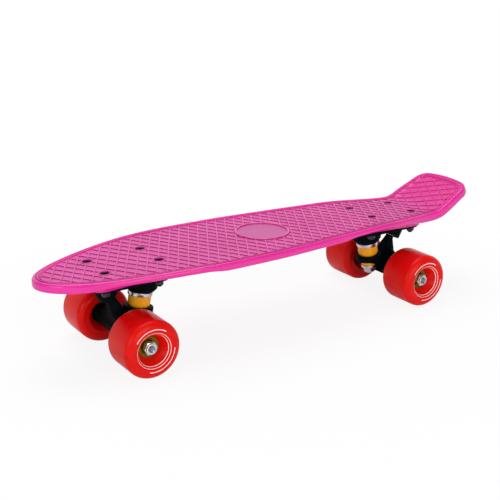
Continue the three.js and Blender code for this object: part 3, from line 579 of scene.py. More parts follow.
# %% [markdown]
# ## Plaque, bosses, pads and ribs
#
# The round plaque in the middle has a raised bead and a plain flat face. Each deck bolt sits in a small
# flat boss, so that its head doesn't land on the ridges. Underneath are a pad for each truck and a grid of
# ribs whose depth follows the skirt. They are made as tools and joined to the blank by booleans, and the
# bolt holes are cut last.

# %% Plaque and bosses
PLAQUE_SECTION = [
    (0, -3), (30.3, -3), (30.3, 0.3), (30.2, 0.9), (30, 1.3), (29.6, 1.5), (29.2, 1.55), (28.4, 1.55),
    (28, 1.5), (27.7, 1.3), (27.5, 0.9), (27.4, 0.3), (0, 0.3),
]
BOSS_SECTION = [(0, -3), (7, -3), (7, 0), (6.95, 0.3), (6.7, 0.5), (0, 0.5)]
PLAQUE_FACE, BOSS_FACE = 27 * MM, 6.5 * MM
BOLT_LONG, BOLT_WIDE = 59.5 * MM, 41.3 * MM
bolt_pattern = [Vector((x * BOLT_LONG / 2, y * BOLT_WIDE / 2, 0)) for x in (-1, 1) for y in (-1, 1)]
truck_places = [Vector((truck_x, 0, 0)) for truck_x in (FRONT_TRUCK_X, REAR_TRUCK_X)]
bolt_places = [middle + spot for middle in truck_places for spot in bolt_pattern]


def with_plaque_top(obj, radius):
    """Gives the flat top inside a radius the plaque's painted reflection, walls the painted shade and the
    rest the lip's.
    """
    for finish in deck_finishes:
        obj.data.materials.append(finish)
    for face in obj.data.polygons:
        on_top = face.center.z > 0 and face.center.xy.length < radius
        face.material_index = PLAQUE if on_top else GROOVE_SHADE if abs(face.normal.z) < 0.6 else LIP
    return obj


def at_bolts(pattern):
    """A copy of a tool at each deck bolt, for the tool that was made at the origin."""
    copies = [copy_piece(pattern, f"{pattern.name}_{i}", Matrix.Translation(spot))
              for i, spot in enumerate(bolt_places)]
    discard(pattern)
    return copies


plaque = with_plaque_top(turn("plaque", PLAQUE_SECTION, 96), PLAQUE_FACE)
place(plaque, Matrix.Translation((MIDDLE_X, 0, 0)))
tops = [plaque] + at_bolts(with_plaque_top(turn("boss", BOSS_SECTION, 40), BOSS_FACE))
print("plaque and", len(tops) - 1, "bosses")

# %% Pads and ribs
PAD_DROP = 16.6 * MM
PAD_REACH = Vector((43, 29, 0)) * MM
PAD_CORNER, PAD_FOOT = 11 * MM, 0.8 * MM
RIB_WIDTH = 3 * MM
RIB_TOP = -PLATE + 0.8 * MM
RIB_LOW = -8 * MM
RIB_SETBACK = 0.4 * MM
LONG_RIB_REACH, LONG_RIB_Y = 133 * MM, 22 * MM
CROSS_RIB_SPACING, CROSS_RIB_GAP = 26 * MM, 5 * MM


def block(name, low, high):
    """A box between two corners."""
    bpy.ops.object.select_all(action="DESELECT")
    middle, size = (low + high) / 2, high - low
    bpy.ops.mesh.primitive_cube_add(size=1, location=middle, scale=size)
    bpy.ops.object.transform_apply(location=True, rotation=False, scale=True)
    return named(name)


def truck_pad(name, truck_x):
    """The block that a baseplate bears on, with round corners and a softened foot."""
    pad = block(name, Vector((truck_x, 0, -PAD_DROP)) - PAD_REACH, Vector((truck_x, 0, RIB_TOP)) + PAD_REACH)
    edit(pad)
    pick(pad, "EDGE", lambda edge: abs(edge.verts[0].co.z - edge.verts[1].co.z) > MM)
    bpy.ops.mesh.bevel(offset=PAD_CORNER, segments=8, affect="EDGES")
    pick(pad, "EDGE", lambda edge: max(v.co.z for v in edge.verts) < -PAD_DROP + MM / 2)
    bpy.ops.mesh.bevel(offset=PAD_FOOT, segments=2, affect="EDGES")
    done()
    return pad


def half_width_at(s):
    """The outline's half width at a place along the board."""
    for a, b in zip(half, half[1:]):
        if a.x <= s <= b.x:
            return a.y + (b.y - a.y) * (s - a.x) / (b.x - a.x)
    return 0


def rib(name, middle, half_size, cuts):
    """A rib whose foot follows the depth of the skirt, cut across so many times that it can bend with it."""
    low, high = middle - half_size, middle + half_size
    low.z, high.z = RIB_LOW, RIB_TOP
    bar = block(name, low, high)
    edit(bar)
    for i in range(1, cuts):
        cut_through(low + (high - low) * i / cuts, (1, 0, 0))
    done()
    for corner in bar.data.vertices:
        if corner.co.z < RIB_TOP - HAIR:
            corner.co.z = min(RIM_RISE - skirt_depth(corner.co.x) + RIB_SETBACK, -PLATE)
    return bar


unders = [truck_pad(f"pad_{i}", x) for i, x in enumerate((FRONT_TRUCK_X, REAR_TRUCK_X))]
for side in (-1, 1):
    middle = Vector((MIDDLE_X, side * LONG_RIB_Y, 0))
    unders.append(rib(f"long_rib_{side}", middle, Vector((LONG_RIB_REACH, RIB_WIDTH / 2, 0)), 24))
for i in range(-2, 3):
    s = MIDDLE_X + i * CROSS_RIB_SPACING
    half_size = Vector((RIB_WIDTH / 2, half_width_at(s) - CROSS_RIB_GAP, 0))
    unders.append(rib(f"cross_rib_{i}", Vector((s, 0, 0)), half_size, 1))
print("under the deck:", len(unders), "tools")

# %% Join the tools and cut the bolt holes
HOLE_SECTION = [(0, -20), (2.7, -20), (2.7, -3.1), (5.2, -0.3), (5.35, 0.1), (5.35, 2), (0, 2)]
holes = at_bolts(turn("hole", HOLE_SECTION, 32))
combine(deck, tops + unders, "UNION")
combine(deck, holes, "DIFFERENCE")
print("deck with its features:", len(deck.data.polygons), "faces")

# %% [markdown]
# ## The waffle grip
#
# The grip is a lattice of thin ridges in two families, 60 degrees to either side of the board's length and
# about 10 mm apart. Each ridge is marked out by two straight cuts across the field, one for each of its
# sides. What is left between the ridges are diamond cells. The ridges are raised together by one extrusion,
# and their tops get the polished finish, because that part of the mould isn't blasted, so they go without
# the field's painted sheen. The matted cells stay where they are and keep it. Around the bolts and inside
# the plaque nothing is raised. The ridges' sides get the grooves' painted shade, except on the tail, where
# the light falls on them.

# %% Waffle
RIDGE_PITCH, RIDGE_PHASE = 10.16 * MM, -4.56 * MM
RIDGE_WIDTH, RIDGE_RISE = 1.2 * MM, 0.8 * MM
ridge_normals = [Vector((math.cos(math.radians(a)), math.sin(math.radians(a)), 0)) for a in (-30, 30)]


def pick_field():
    """Selects the faces that carry the matted finish, which are the field."""
    bpy.ops.mesh.select_mode(type="FACE")
    bpy.ops.mesh.select_all(action="DESELECT")
    bpy.context.object.active_material_index = FIELD
    bpy.ops.object.material_slot_select()


def from_ridge(normal, point):
    """How far a point lies from the middle of the nearest ridge of one family."""
    away = (normal.dot(point) - RIDGE_PHASE) % RIDGE_PITCH
    return min(away, RIDGE_PITCH - away)


def is_ridge(face):
    """Whether a face of the field lies between the two sides of a ridge."""
    middle = face.calc_center_median()
    return (face.material_index == FIELD and face.normal.z > 0.9
            and any(from_ridge(normal, middle) < RIDGE_WIDTH / 2 for normal in ridge_normals))


def is_ridge_side(face):
    """Whether a face is the upright side of a ridge in front of the tail, which gets painted shade."""
    if abs(face.normal.z) >= 0.1 or face.calc_center_median().x >= KICK_X + KICK_ARC:
        return False
    heights = [corner.co.z for corner in face.verts]
    return abs(min(heights)) < HAIR / 2 and abs(max(heights) - RIDGE_RISE) < HAIR / 2


edit(deck)
for normal in ridge_normals:
    reach = [normal.dot(point.to_3d()) for point in outline]
    first = math.floor((min(reach) - RIDGE_PHASE) / RIDGE_PITCH)
    last = math.ceil((max(reach) - RIDGE_PHASE) / RIDGE_PITCH)
    for i in range(first, last + 1):
        for side in (-0.5, 0.5):
            pick_field()
            cut = RIDGE_PHASE + i * RIDGE_PITCH + side * RIDGE_WIDTH
            bpy.ops.mesh.bisect(plane_co=normal * cut, plane_no=normal, threshold=1e-6)
ridges = pick(deck, "FACE", is_ridge)
finish_selected(LIP)
extrude_up(RIDGE_RISE)
# The ridges' upright sides get the same painted shade
sides = pick(deck, "FACE", is_ridge_side)
finish_selected(GROOVE_SHADE)
done()
print("waffle:", ridges, "ridge faces with", sides, "sides,", len(deck.data.polygons), "faces")

# %% [markdown]
# ## Bending the deck
#
# So far the deck is flat. The real one is level in the middle and sags a few millimetres towards its nose
# and its tail, and then the tail turns up along an arc. The mesh is cut across at even steps wherever it
# has to bend, and then every corner is moved by the same rule as in the CAD model, so the two stay one on
# the other. Only the feet of the pads stay level, because the trucks are bolted to them.

# %% Bend
LEVEL_REACH = 118 * MM
NOSE_SAG, NOSE_SAG_REACH = 5.1 * MM, 258 * MM
TAIL_SAG, TAIL_SAG_REACH = 3.1 * MM, 208 * MM
NOSE_CUTS, TAIL_CUTS, KICK_CUTS = 9, 7, 8


def sag_at(s):
    """How far the deck sags below its middle."""
    sag, reach = (NOSE_SAG, NOSE_SAG_REACH) if s < MIDDLE_X else (TAIL_SAG, TAIL_SAG_REACH)
    return sag * smooth(LEVEL_REACH, reach, abs(s - MIDDLE_X))


def bend(point):
    """Where a corner of the flat deck goes: s, y and h become x, y and z."""
    s, h = point.x, point.z
    angle = min(max((s - KICK_X) / KICK_RADIUS, 0), KICK_ANGLE)
    beyond = max(s - KICK_X - KICK_ARC, 0)
    sag = 0 if h < HAIR - PAD_DROP else sag_at(s)
    x = min(s, KICK_X) + (KICK_RADIUS - h) * math.sin(angle) + beyond * math.cos(angle)
    rise = KICK_RADIUS * (1 - math.cos(angle)) + beyond * math.sin(angle)
    return Vector((x, point.y, FIELD_HEIGHT - sag + h * math.cos(angle) + rise))


def evenly(start, end, steps):
    """Places from start to end in even steps, with both ends."""
    return [start + (end - start) * i / steps for i in range(steps + 1)]


stations = evenly(MIDDLE_X - LEVEL_REACH, MIDDLE_X - NOSE_SAG_REACH, NOSE_CUTS)
stations += evenly(MIDDLE_X + LEVEL_REACH, MIDDLE_X + TAIL_SAG_REACH, TAIL_CUTS)
stations += evenly(KICK_X, KICK_X + KICK_ARC, KICK_CUTS)
edit(deck)
for s in stations:
    cut_through((s, 0, 0), (1, 0, 0))
done()
for corner in deck.data.vertices:
    corner.co = bend(corner.co)
outwards(deck)
soften(deck)
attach(deck, "board")
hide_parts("deck")
print("deck:", len(deck.data.polygons), "faces")

# %% [markdown]
# ## The other finishes
#
# Trucks are cast aluminium under a dull black powder coat, whose orange peel is about 0.7 mm over a skin of
# 5.5 mm lumps. Kingpins, axles, washers and their nuts are zinc-plated steel, and the sheared ends of the
# axles get a duller grey-blue, which is painted shade. The deck bolts are phosphated black, their nuts are
# plated black, and the bearings are yellow zinc; the inboard ones are drawn black, which is painted shade.
# The bushings are amber urethane that lets a little light in, and the wheels are a harder red urethane with
# white pad-printed rings. Pivot cups and the rings inside lock nuts are white nylon.
# Urethane and powder coat start from an index of 1.5, and are brought down where the real board mirrors its
# room less than that.

# %% Metals and coats
PLATING_CLOUD, PLATING_GRAIN = 4.17 * MM, 0.385 * MM
ORANGE_PEEL, CASTING_SKIN = 0.715 * MM, 5.55 * MM


def metal(name, colour, roughness, brushed=0.05):
    """A plated or blackened metal: its gloss changes a little from place to place."""
    material, tree, shader, coords = finish_named(name)
    cloud = add(tree, "TexNoise", inputs={"Vector": coords, "Scale": 1 / PLATING_CLOUD, "Detail": 3})
    grain = add(tree, "TexNoise", inputs={"Vector": coords, "Scale": 1 / PLATING_GRAIN, "Detail": 1})
    gloss = add(tree, "MapRange", inputs={
        "Value": cloud.outputs["Fac"], **CLOUD_SPAN,
        "To Min": roughness - brushed, "To Max": roughness + brushed,
    })
    relief = add(tree, "Bump", inputs={
        "Height": grain.outputs["Fac"], "Distance": 0.01 * MM, "Strength": 0.6,
    })
    connect(tree, shader, {
        "Base Color": linear(colour), "Metallic": 1, "Roughness": gloss.outputs["Result"],
        "Normal": relief.outputs["Normal"],
    })
    return material


def powder_coat(name, low, high, gloss):
    """A dark coat with a fine orange peel over the coarser skin of what it covers."""
    material, tree, shader, coords = finish_named(name)
    peel = add(tree, "TexNoise", inputs={"Vector": coords, "Scale": 1 / ORANGE_PEEL, "Detail": 2})
    skin = add(tree, "TexNoise", inputs={"Vector": coords, "Scale": 1 / CASTING_SKIN, "Detail": 2})
    vary(tree, shader, skin.outputs["Fac"], (low, high), (0.48, 0.6))
    height = add(tree, "Math", {"operation": "MULTIPLY_ADD"}, {
        0: peel.outputs["Fac"], 1: 0.35, 2: skin.outputs["Fac"],
    })
    relief = add(tree, "Bump", inputs={"Height": height.outputs[0], "Distance": 0.08 * MM, "Strength": 0.7})
    connect(tree, shader, {"Normal": relief.outputs["Normal"], "IOR": 1.38, "Specular IOR Level": gloss})
    return material


# Zinc plating is bright with a soft sheen, and shows what stands round it
zinc = metal("zinc-plated steel", "#CDD0D4", 0.26)
black_zinc = metal("black zinc-plated steel", "#3C3E42", 0.28)
yellow_zinc = metal("yellow zinc-plated steel", "#7E6A1E", 0.34)
# A sheared axle end is painted a duller grey-blue, as painted shade, and ground steel is the brightest of all
sheared_end_shade = metal("zinc-plated steel, sheared", "#7A92A0", 0.3)
bearing_race = metal("ground bearing steel", "#D8D9DB", 0.18, 0.03)
# Phosphate and powder coat swallow nearly all light and keep a faint broad sheen
black_oxide = powder_coat("phosphated steel, black", "#050409", "#09080D", 0.06)
casting_coat = powder_coat("powder-coated cast aluminium", "#020A0D", "#050F12", 0.05)
metal_finishes = (zinc, black_zinc, yellow_zinc, sheared_end_shade, bearing_race, black_oxide, casting_coat)
print("metals:", [finish.name for finish in metal_finishes])


# %% Soft plastics and ink
FLOW_MARK, MOULD_GRAIN = 16.7 * MM, 1.11 * MM


def soft_plastic(name, low, high, roughness, depth, radius, gloss=0.5, ior=1.5):
    """A cast or moulded plastic that light enters: depth is its share, and radius how far it goes."""
    material, tree, shader, coords = finish_named(name)
    flow = add(tree, "TexNoise", inputs={"Vector": coords, "Scale": 1 / FLOW_MARK, "Detail": 2})
    grain = add(tree, "TexNoise", inputs={"Vector": coords, "Scale": 1 / MOULD_GRAIN, "Detail": 2})
    vary(tree, shader, flow.outputs["Fac"], (low, high), (roughness - 0.03, roughness + 0.04))
    relief = add(tree, "Bump", inputs={
        "Height": grain.outputs["Fac"], "Distance": 0.02 * MM, "Strength": 0.5,
    })
    connect(tree, shader, {
        "Normal": relief.outputs["Normal"], "IOR": ior, "Specular IOR Level": gloss,
        "Subsurface Weight": depth, "Subsurface Scale": radius, "Subsurface Radius": linear(high)[:3],
    })
    return material


# Cast urethane glows a little at thin edges, nylon looks milky, and ink looks flat
bushing_urethane = soft_plastic("cast urethane, amber", "#F6A406", "#FAB216", 0.34, 0.1, 2 * MM, 0.35)
wheel_urethane = soft_plastic("cast urethane, red", "#D80A04", "#E01108", 0.3, 0.05, 1 * MM, 0.3, 1.33)
nylon = soft_plastic("moulded nylon, white", "#ECE9E0", "#F4F2EC", 0.42, 0.2, 1 * MM)
ink = soft_plastic("pad-printed ink, white", "#F3E4E0", "#FBF2EF", 0.45, 0, 1 * MM)
print("plastics:", [finish.name for finish in (bushing_urethane, wheel_urethane, nylon, ink)])

# %% [markdown]
# ## Where pieces stand
#
# The two trucks are the same truck. It is made once with its mounting face at height 0 and its outer end
# towards +X, and placed twice, turned half way round for the front. The kingpin leans 9.5 degrees and the
# pivot 30 degrees, so pieces are made upright on those axes and leaned afterwards. A finished piece takes
# the place of its CAD node and rides on the same body.

# %% Places and fitting
PAD_GAP = 0.1 * MM
MOUNT_HEIGHT = FIELD_HEIGHT - PAD_DROP - PAD_GAP
AXLE_AT = (AXLE_REACH / MM, -53.4)


def leaned(x, z, degrees, axis="Y"):
    """A place in the truck, in millimetres, with its axis leaned about Y or turned about X."""
    return Matrix.Translation(Vector((x, 0, z)) * MM) @ Matrix.Rotation(math.radians(degrees), 4, axis)


KINGPIN = leaned(-15.2, -39.4, -9.5)
PIVOT = leaned(18.5, -16.9, 30)
ALONG_AXLE = leaned(*AXLE_AT, -90, "X")
UPSIDE_DOWN = Matrix.Rotation(math.pi, 4, "X")
TRUCKS = {
    "front": Matrix.Translation((FRONT_TRUCK_X, 0, MOUNT_HEIGHT)) @ Matrix.Rotation(math.pi, 4, "Z"),
    "rear": Matrix.Translation((REAR_TRUCK_X, 0, MOUNT_HEIGHT)),
}


def finish_with(obj, *materials):
    """Puts finishes on a piece. The first covers it all."""
    obj.data.materials.clear()
    for material in materials:
        obj.data.materials.append(material)
    for face in obj.data.polygons:
        face.material_index = 0
    return obj


def paint(obj, index, test):
    """Gives the faces that pass a test another of the piece's finishes. The test gets the face's middle."""
    for face in obj.data.polygons:
        if test(face.center):
            face.material_index = index
    return obj


def fit(obj, node, matrix, ride=True):
    """A copy of a made piece in the place of a CAD node."""
    fitted = copy_piece(obj, "finished_" + node, matrix)
    if ride:
        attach(fitted, frame["nodes"][node]["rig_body"])
    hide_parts(node)
    return fitted


def fit_to_trucks(obj, piece):
    """The same piece on both trucks. The pattern that it was copied from is thrown away."""
    for end, matrix in TRUCKS.items():
        fit(obj, f"{end}_{piece}", matrix)
    discard(obj)


def merged(name, parts):
    """One object out of several."""
    take(parts[0])
    for part in parts:
        part.select_set(True)
    bpy.ops.object.join()
    parts[0].name = parts[0].data.name = name
    return parts[0]


def rod(name, radius, low, high, steps, matrix=Matrix.Identity(4)):
    """A cylinder along Z between two heights in millimetres, moved to its place."""
    return place(turn(name, [(0, low), (radius, low), (radius, high), (0, high)], steps), matrix)


def hull(name, parts):
    """The tightest skin round a few parts, as a pattern maker blends them with filler."""
    whole = merged(name, parts)
    edit(whole)
    bpy.ops.mesh.convex_hull()
    done()
    return whole


def cast(name, parts):
    """One casting out of overlapping parts. The remesh joins them, and smoothing fills the inside corners."""
    whole = merged(name, parts)
    modify(whole, "REMESH", mode="VOXEL", voxel_size=0.75 * MM)
    modify(whole, "SMOOTH", factor=0.5, iterations=7)
    return whole


def bored(casting, name, bores):
    """Drills a casting, gives it its coat and puts it on both trucks."""
    combine(casting, [merged("bores", bores)], "DIFFERENCE")
    soften(finish_with(casting, casting_coat))
    print(name + ":", len(casting.data.polygons), "faces")
    fit_to_trucks(casting, name)


print("trucks at", [round(m.translation.x / MM, 1) for m in TRUCKS.values()], "mm")

# %% [markdown]
# ## The baseplates
#
# A baseplate is one casting: a flange with round corners, a boss for the kingpin and a housing for the
# pivot cup. Their faces are left a little soft by the remesh, like a real casting's. The mounting face is
# milled, so it is cut flat again, and the holes are bored last.

# %% Baseplates
CUP_TOP = 7.07
MILLED, FLANGE_FACE = 0.2 * MM, 1000 * MM**2
flange = hull("flange", [
    rod("corner", 10, -5.5, 0, 48, Matrix.Translation(Vector((x, y, 0)) * MM))
    for x in (-31, 31) for y in (-17, 17)
])
kingpin_boss = place(turn("boss", [
    (0, 19.3), (12.8, 19.3), (13.6, 19.7), (17, 23.8), (17, 37.1), (0, 37.1),
]), KINGPIN)
housing = hull("housing", [
    rod("pivot_end", 11, -2.5, CUP_TOP, 48, PIVOT),
    rod("flange_end", 10.5, -5.5, -2.75, 48, Matrix.Translation((24 * MM, 0, 0))),
])
baseplate = cast("baseplate", [flange, kingpin_boss, housing])
edit(baseplate)
cut_through((0, 0, -MILLED), (0, 0, 1), use_fill=True, clear_outer=True)
pick(baseplate, "FACE", lambda face: face.normal.z > 0.99 and face.calc_area() > FLANGE_FACE)
extrude_up(MILLED)
done()
bored(baseplate, "baseplate", [
    place(turn("kingpin_bore", [
        (0, 0), (5.1, 0), (5.1, 32.2), (8.6, 32.2), (8.6, 80), (0, 80),
    ], 48), KINGPIN),
    rod("cup_bore", 8.15, -40, CUP_TOP + 0.3, 48, PIVOT),
    *[rod("bolt_bore", 2.7, -12, 2, 24, Matrix.Translation(spot)) for spot in bolt_pattern],
])

# %% [markdown]
# ## The hangers
#
# A hanger is the casting that swings: a barrel round the axle, two wings that run up to the pivot arm, the
# arm with its round nub, and a ring that the bushings hold. The cut for the lower bushing widens downwards,
# so that the kingpin nut stays clear when the board leans.

# %% Hangers
def roller(name, radius, half_length, x, z):
    """A cylinder that lies across the board, at its place in the truck in millimetres."""
    return rod(name, radius, -half_length, half_length, 48, leaned(x, z, -90, "X"))


def domed(radius):
    """A section's points from the top of a dome down to its equator."""
    angles = [math.pi / 2 * i / 8 for i in range(9)]
    return [(radius * math.sin(angle), radius * math.cos(angle)) for angle in angles]


barrel = place(turn("barrel", [
    (0, -41.1), (9.6, -41.1), (10.4, -40.3), (10.5, -30), (10.8, -16), (10.8, 16), (10.5, 30), (10.4, 40.3),
    (9.6, 41.1), (0, 41.1),
]), ALONG_AXLE)
wings = hull("wings", [roller("arm_foot", 8, 8.5, 9.5, -39.9), roller("wing_ends", 7.5, 38, *AXLE_AT)])
arm = hull("arm", [roller("arm_foot", 8, 8.5, 9.5, -39.9), rod("neck", 4.8, -10, -5.3, 32, PIVOT)])
nub = place(turn("nub", [*domed(4.8), (4.8, -10), (0, -10)], 48), PIVOT)
web = hull("web", [rod("web_top", 12, -3.3, 3.3, 64, KINGPIN), roller("web_foot", 7.4, 16, *AXLE_AT)])
ring = rod("ring", 15.5, -3.3, 3.3, 64, KINGPIN)
bored(cast("hanger", [barrel, wings, arm, nub, web, ring]), "hanger", [
    place(turn("seats", [
        (0, -24), (15.2, -24), (13, -10.5), (12.2, -7), (10.2, -3.3), (9.7, -2.8), (9.7, -1.7), (7.9, -1.7),
        (7.9, 1.7), (10.5, 1.7), (10.5, 20), (0, 20),
    ]), KINGPIN),
    rod("axle_bore", 4.1, -50, 50, 32, ALONG_AXLE),
])

# %% [markdown]
# ## What sits on the kingpin
#
# From the top: the kingpin's head in its pocket, a cup washer, the barrel bushing, the hanger's ring, the
# cone bushing, a smaller cup washer and the lock nut. The bushings are soft: their upper or lower end stays
# with the board and the other follows the hanger, so here they are placed once and ride on neither body.

# %% Cup washers and pivot cups
def cup_washer(name, near, far, lip_end, lip_inside):
    """A dished washer, from the heights of its plate and its lip and the radius inside the lip."""
    section = [(5.1, near), (lip_inside, near), (lip_inside, lip_end), (lip_inside + 0.8, lip_end),
               (lip_inside + 0.8, far), (5.1, far), (5.1, near)]
    made = place(turn(name, rounded(section, 0.35), 72), KINGPIN)
    fit_to_trucks(soften(finish_with(made, zinc)), name)


cup_washer("upper_washer", 17.6, 19, 15.1, 12)
cup_washer("lower_washer", -11.3, -12.7, -9.7, 8.8)
pivot_cup = place(turn("pivot_cup", [
    *domed(5.47), (7, -2.5), (7.2, -2.9), (7.7, -2.9), (8, -2.6), (8, CUP_TOP - 0.4), (7.6, CUP_TOP),
    (0, CUP_TOP),
]), PIVOT)
fit_to_trucks(soften(finish_with(pivot_cup, nylon)), "pivot_cup")
print("washers and pivot cups fitted")

# %% Bushings
UPPER_BUSHING = [
    (5.1, 2), (9.9, 2), (9.9, 3.6), (11, 4.2), (11.55, 5.8), (11.7, 8.5), (11.7, 12.5), (11.6, 15),
    (11.2, 16.6), (10.2, 17.3), (5.1, 17.3), (5.1, 2),
]
LOWER_BUSHING = [
    (5.1, -11), (8.2, -11), (8.5, -10), (9.9, -4.8), (9.75, -3.9), (9.1, -3.6), (9.1, -2), (5.1, -2),
    (5.1, -11),
]
for piece, section, fixed, moving in (("upper_bushing", UPPER_BUSHING, 17.3, 2),
                                      ("lower_bushing", LOWER_BUSHING, -11, -2)):
    bushing = place(turn(piece, rounded(section, 0.5), 72), KINGPIN)
    soften(finish_with(bushing, bushing_urethane))
    for end, matrix in TRUCKS.items():
        fitted = fit(bushing, f"{end}_{piece}", matrix, ride=False)
        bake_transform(fitted)
    discard(bushing)

# %% [markdown]
# ## Bolts and nuts
#
# Threads are drawn as rings, one to a pitch: at this size nobody can tell them from a helix, and a ring is
# a clean turned shape. A lock nut is a hexagon whose corners are turned down, under a round collar that
# holds a nylon ring. Three sizes are made with one function.

# %% Threads and lock nuts
THREAD_DEPTH = 0.35
# How much of a nut's height is hexagon, how steep its chamfer is, how wide the chamfer's flat and the collar
# are beside the flats, and how far the chamfer's tool reaches past the corners
HEX_SHARE, CHAMFER_SLOPE, FLAT_SHARE, COLLAR_SHARE = 0.72, 0.6, 0.97, 0.9
PAST_CORNER = 1.01


def thread(radius, low, high, pitch):
    """Section points up a threaded length, root and crest in turn."""
    points = []
    for i in range(round((high - low) / pitch)):
        points += [(radius - THREAD_DEPTH * pitch, low + i * pitch), (radius, low + (i + 0.5) * pitch)]
    return points + [(radius, high)]


def lock_nut(name, flats, height, bore):
    """A nut that stands on z = 0 with its collar on top, from its sizes in millimetres."""
    inside = flats / 2
    corner = inside / math.cos(math.pi / 6)
    shoulder, slope = height * HEX_SHARE, (corner - inside) * CHAMFER_SLOPE
    flat, wide, top = inside * FLAT_SHARE, corner * PAST_CORNER, inside * COLLAR_SHARE
    insert = (bore + top) / 2
    made = turn(name, [(0, -1), (corner, -1), (corner, height), (0, height)], 6)
    chamfer = turn("chamfer", [
        (0, 0), (flat, 0), (wide, slope), (wide, shoulder - slope), (flat, shoulder), (0, shoulder),
    ])
    combine(made, [chamfer], "INTERSECT")
    collar = turn("collar", [
        (0, shoulder - 0.2), (top, shoulder - 0.2), (top, height - 0.5), (top - 0.15, height - 0.15),
        (top - 0.5, height), (bore + 0.6 * (top - bore), height), (insert, height - 0.25), (0, height - 0.25),
    ])
    combine(made, [collar], "UNION")
    combine(made, [rod("bore", bore, -2, height + 2, 48)], "DIFFERENCE")
    finish_with(made, zinc, nylon)
    paint(made, 1, lambda middle: middle.z > (height - 0.4) * MM and middle.xy.length < insert * MM)
    return soften(made, 30)


kingpin_nut = lock_nut("kingpin_nut", 14.3, 6.4, 4.85)
place(kingpin_nut, KINGPIN @ Matrix.Translation((0, 0, -13 * MM)) @ UPSIDE_DOWN)
fit_to_trucks(kingpin_nut, "kingpin_nut")
deck_nut = lock_nut("deck_nut", 8, 4.8, 2.5)
deck_nut.data.materials[0] = black_zinc
washer = turn("washer", rounded([(4.1, 0), (6.4, 0), (6.4, 1), (4.1, 1), (4.1, 0)], 0.2, 2), 48)
axle_nut = place(lock_nut("axle_nut", 12.7, 5.2, 4.1), Matrix.Translation((0, 0, 1 * MM)))
axle_nut = soften(merged("axle_nut", [axle_nut, finish_with(washer, zinc)]), 30)
print("nuts made")

# %% Kingpins, axles and deck bolts
kingpin = turn("kingpin", [
    (0, -20.6), (4, -20.6), *thread(4.75, -19.8, -12, 1.06), (4.75, 34), (0, 34),
], 48)
combine(kingpin, [turn("head", [(0, 32.6), (8, 32.6), (8, 38), (0, 38)], 6)], "UNION")
fit_to_trucks(soften(finish_with(place(kingpin, KINGPIN), zinc)), "kingpin")

half_axle = [(0, -71.3), (3.2, -72.5), (3.3, -72.6), (3.45, -72.6), *thread(4, -72, -64, 1.06), (4, 0)]
other_half = [(radius, -height) for radius, height in half_axle[-2::-1]]
axle = finish_with(turn("axle", half_axle + other_half, 48), zinc, sheared_end_shade)
# The axle's ends get the grey-blue painted shade
paint(axle, 1, lambda middle: abs(middle.z) > 71.2 * MM and middle.xy.length < 3.28 * MM)
fit_to_trucks(soften(place(axle, ALONG_AXLE)), "axle")

HEAD_TOP = FIELD_HEIGHT / MM - 0.3
NUT_SEAT = 77.6 * MM


def sunk_bolt(sag):
    """A countersunk bolt whose head follows the deck's sag and whose end doesn't, in millimetres."""
    top = HEAD_TOP - sag
    made = turn("deck_bolt", [
        (0, 71.6), (2, 71.6), *thread(2.4, 72, 81, 0.8),
        (2.4, top - 2.5), (4.75, top - 0.2), (4.9, top - 0.1), (4.8, top), (0, top),
    ], 40)
    blades = [block("blade", Vector((-x, -y, top - 1.8)) * MM, Vector((x, y, top + 2)) * MM)
              for x, y in ((2.5, 0.55), (0.55, 2.5))]
    combine(made, blades, "DIFFERENCE")
    return soften(finish_with(made, black_oxide))


for index, spot in enumerate(bolt_places):
    end = "front" if index < len(bolt_pattern) else "rear"
    number = index % len(bolt_pattern) + 1
    # Every bolt and nut ends up turned its own way
    turned_by = Matrix.Rotation(math.radians(17 + 50 * index), 4, "Z")
    bolt = sunk_bolt(sag_at(spot.x) / MM)
    fit(bolt, f"{end}_deck_bolt_{number}", Matrix.Translation(spot) @ turned_by)
    discard(bolt)
    under = Matrix.Translation(spot + Vector((0, 0, NUT_SEAT))) @ turned_by @ UPSIDE_DOWN
    fit(deck_nut, f"{end}_deck_nut_{number}", under)
discard(deck_nut)
print("bolts and nuts fitted")

# %% [markdown]
# ## Wheels and bearings
#
# A wheel is one turned casting. Its section is typed as radius and distance from the wheel's middle, outer
# face last, and both sides share one list for their shoulder. The round shoulder meets the flat face in a
# crisp edge, and the mouth of the recess is rounded. Rings of white ink are printed on both: two thin ones
# on the mouth and a broken one on the face. They are just faces of the turned shape that get the other
# finish. The outboard bearing has a shield of yellow zinc, and the inboard one is drawn all black, which
# is painted shade for the dark inside of the wheel.

# %% Wheels
WHEEL_RADIUS = 30
SHOULDER = [
    (24.6, 22.6), (25.8, 22), (26.9, 21.35), (27.8, 20.6), (28.6, 19.7), (29.2, 18.8), (29.65, 17.8),
    (29.9, 16.9), (WHEEL_RADIUS, 16),
]
WHEEL_SECTION = [
    (11.05, -12.75), (11.4, -13.05), (17.2, -22.1), (17.6, -22.45), (18.1, -22.6),
    *[(radius, -height) for radius, height in SHOULDER], *SHOULDER[::-1],
    (22.4, 22.6), (21.6, 22.6), (20.2, 22.6), (19.2, 22.45), (18.5, 22.2), (18.1, 21.95), (17.4, 21.5),
    (16.9, 21), (16.6, 20.6), (16.2, 19.95), (11.4, 10.95), (11.05, 10.65), (11.05, 3.35), (8.6, 3.35),
    (8.6, -5.45), (11.05, -5.45), (11.05, -12.75),
]
# The radii of the printed rings, the degrees round the wheel that the broken one covers, and a height that
# only the outer side reaches
WHOLE_RINGS, BROKEN_RING = ((16.2, 16.6), (18.1, 18.5)), (21.6, 22.4)
RING_ARCS = ((302, 397), (92, 195))
OUTER_SIDE = 19 * MM
wheel = finish_with(turn("wheel", WHEEL_SECTION, 120), wheel_urethane, ink)


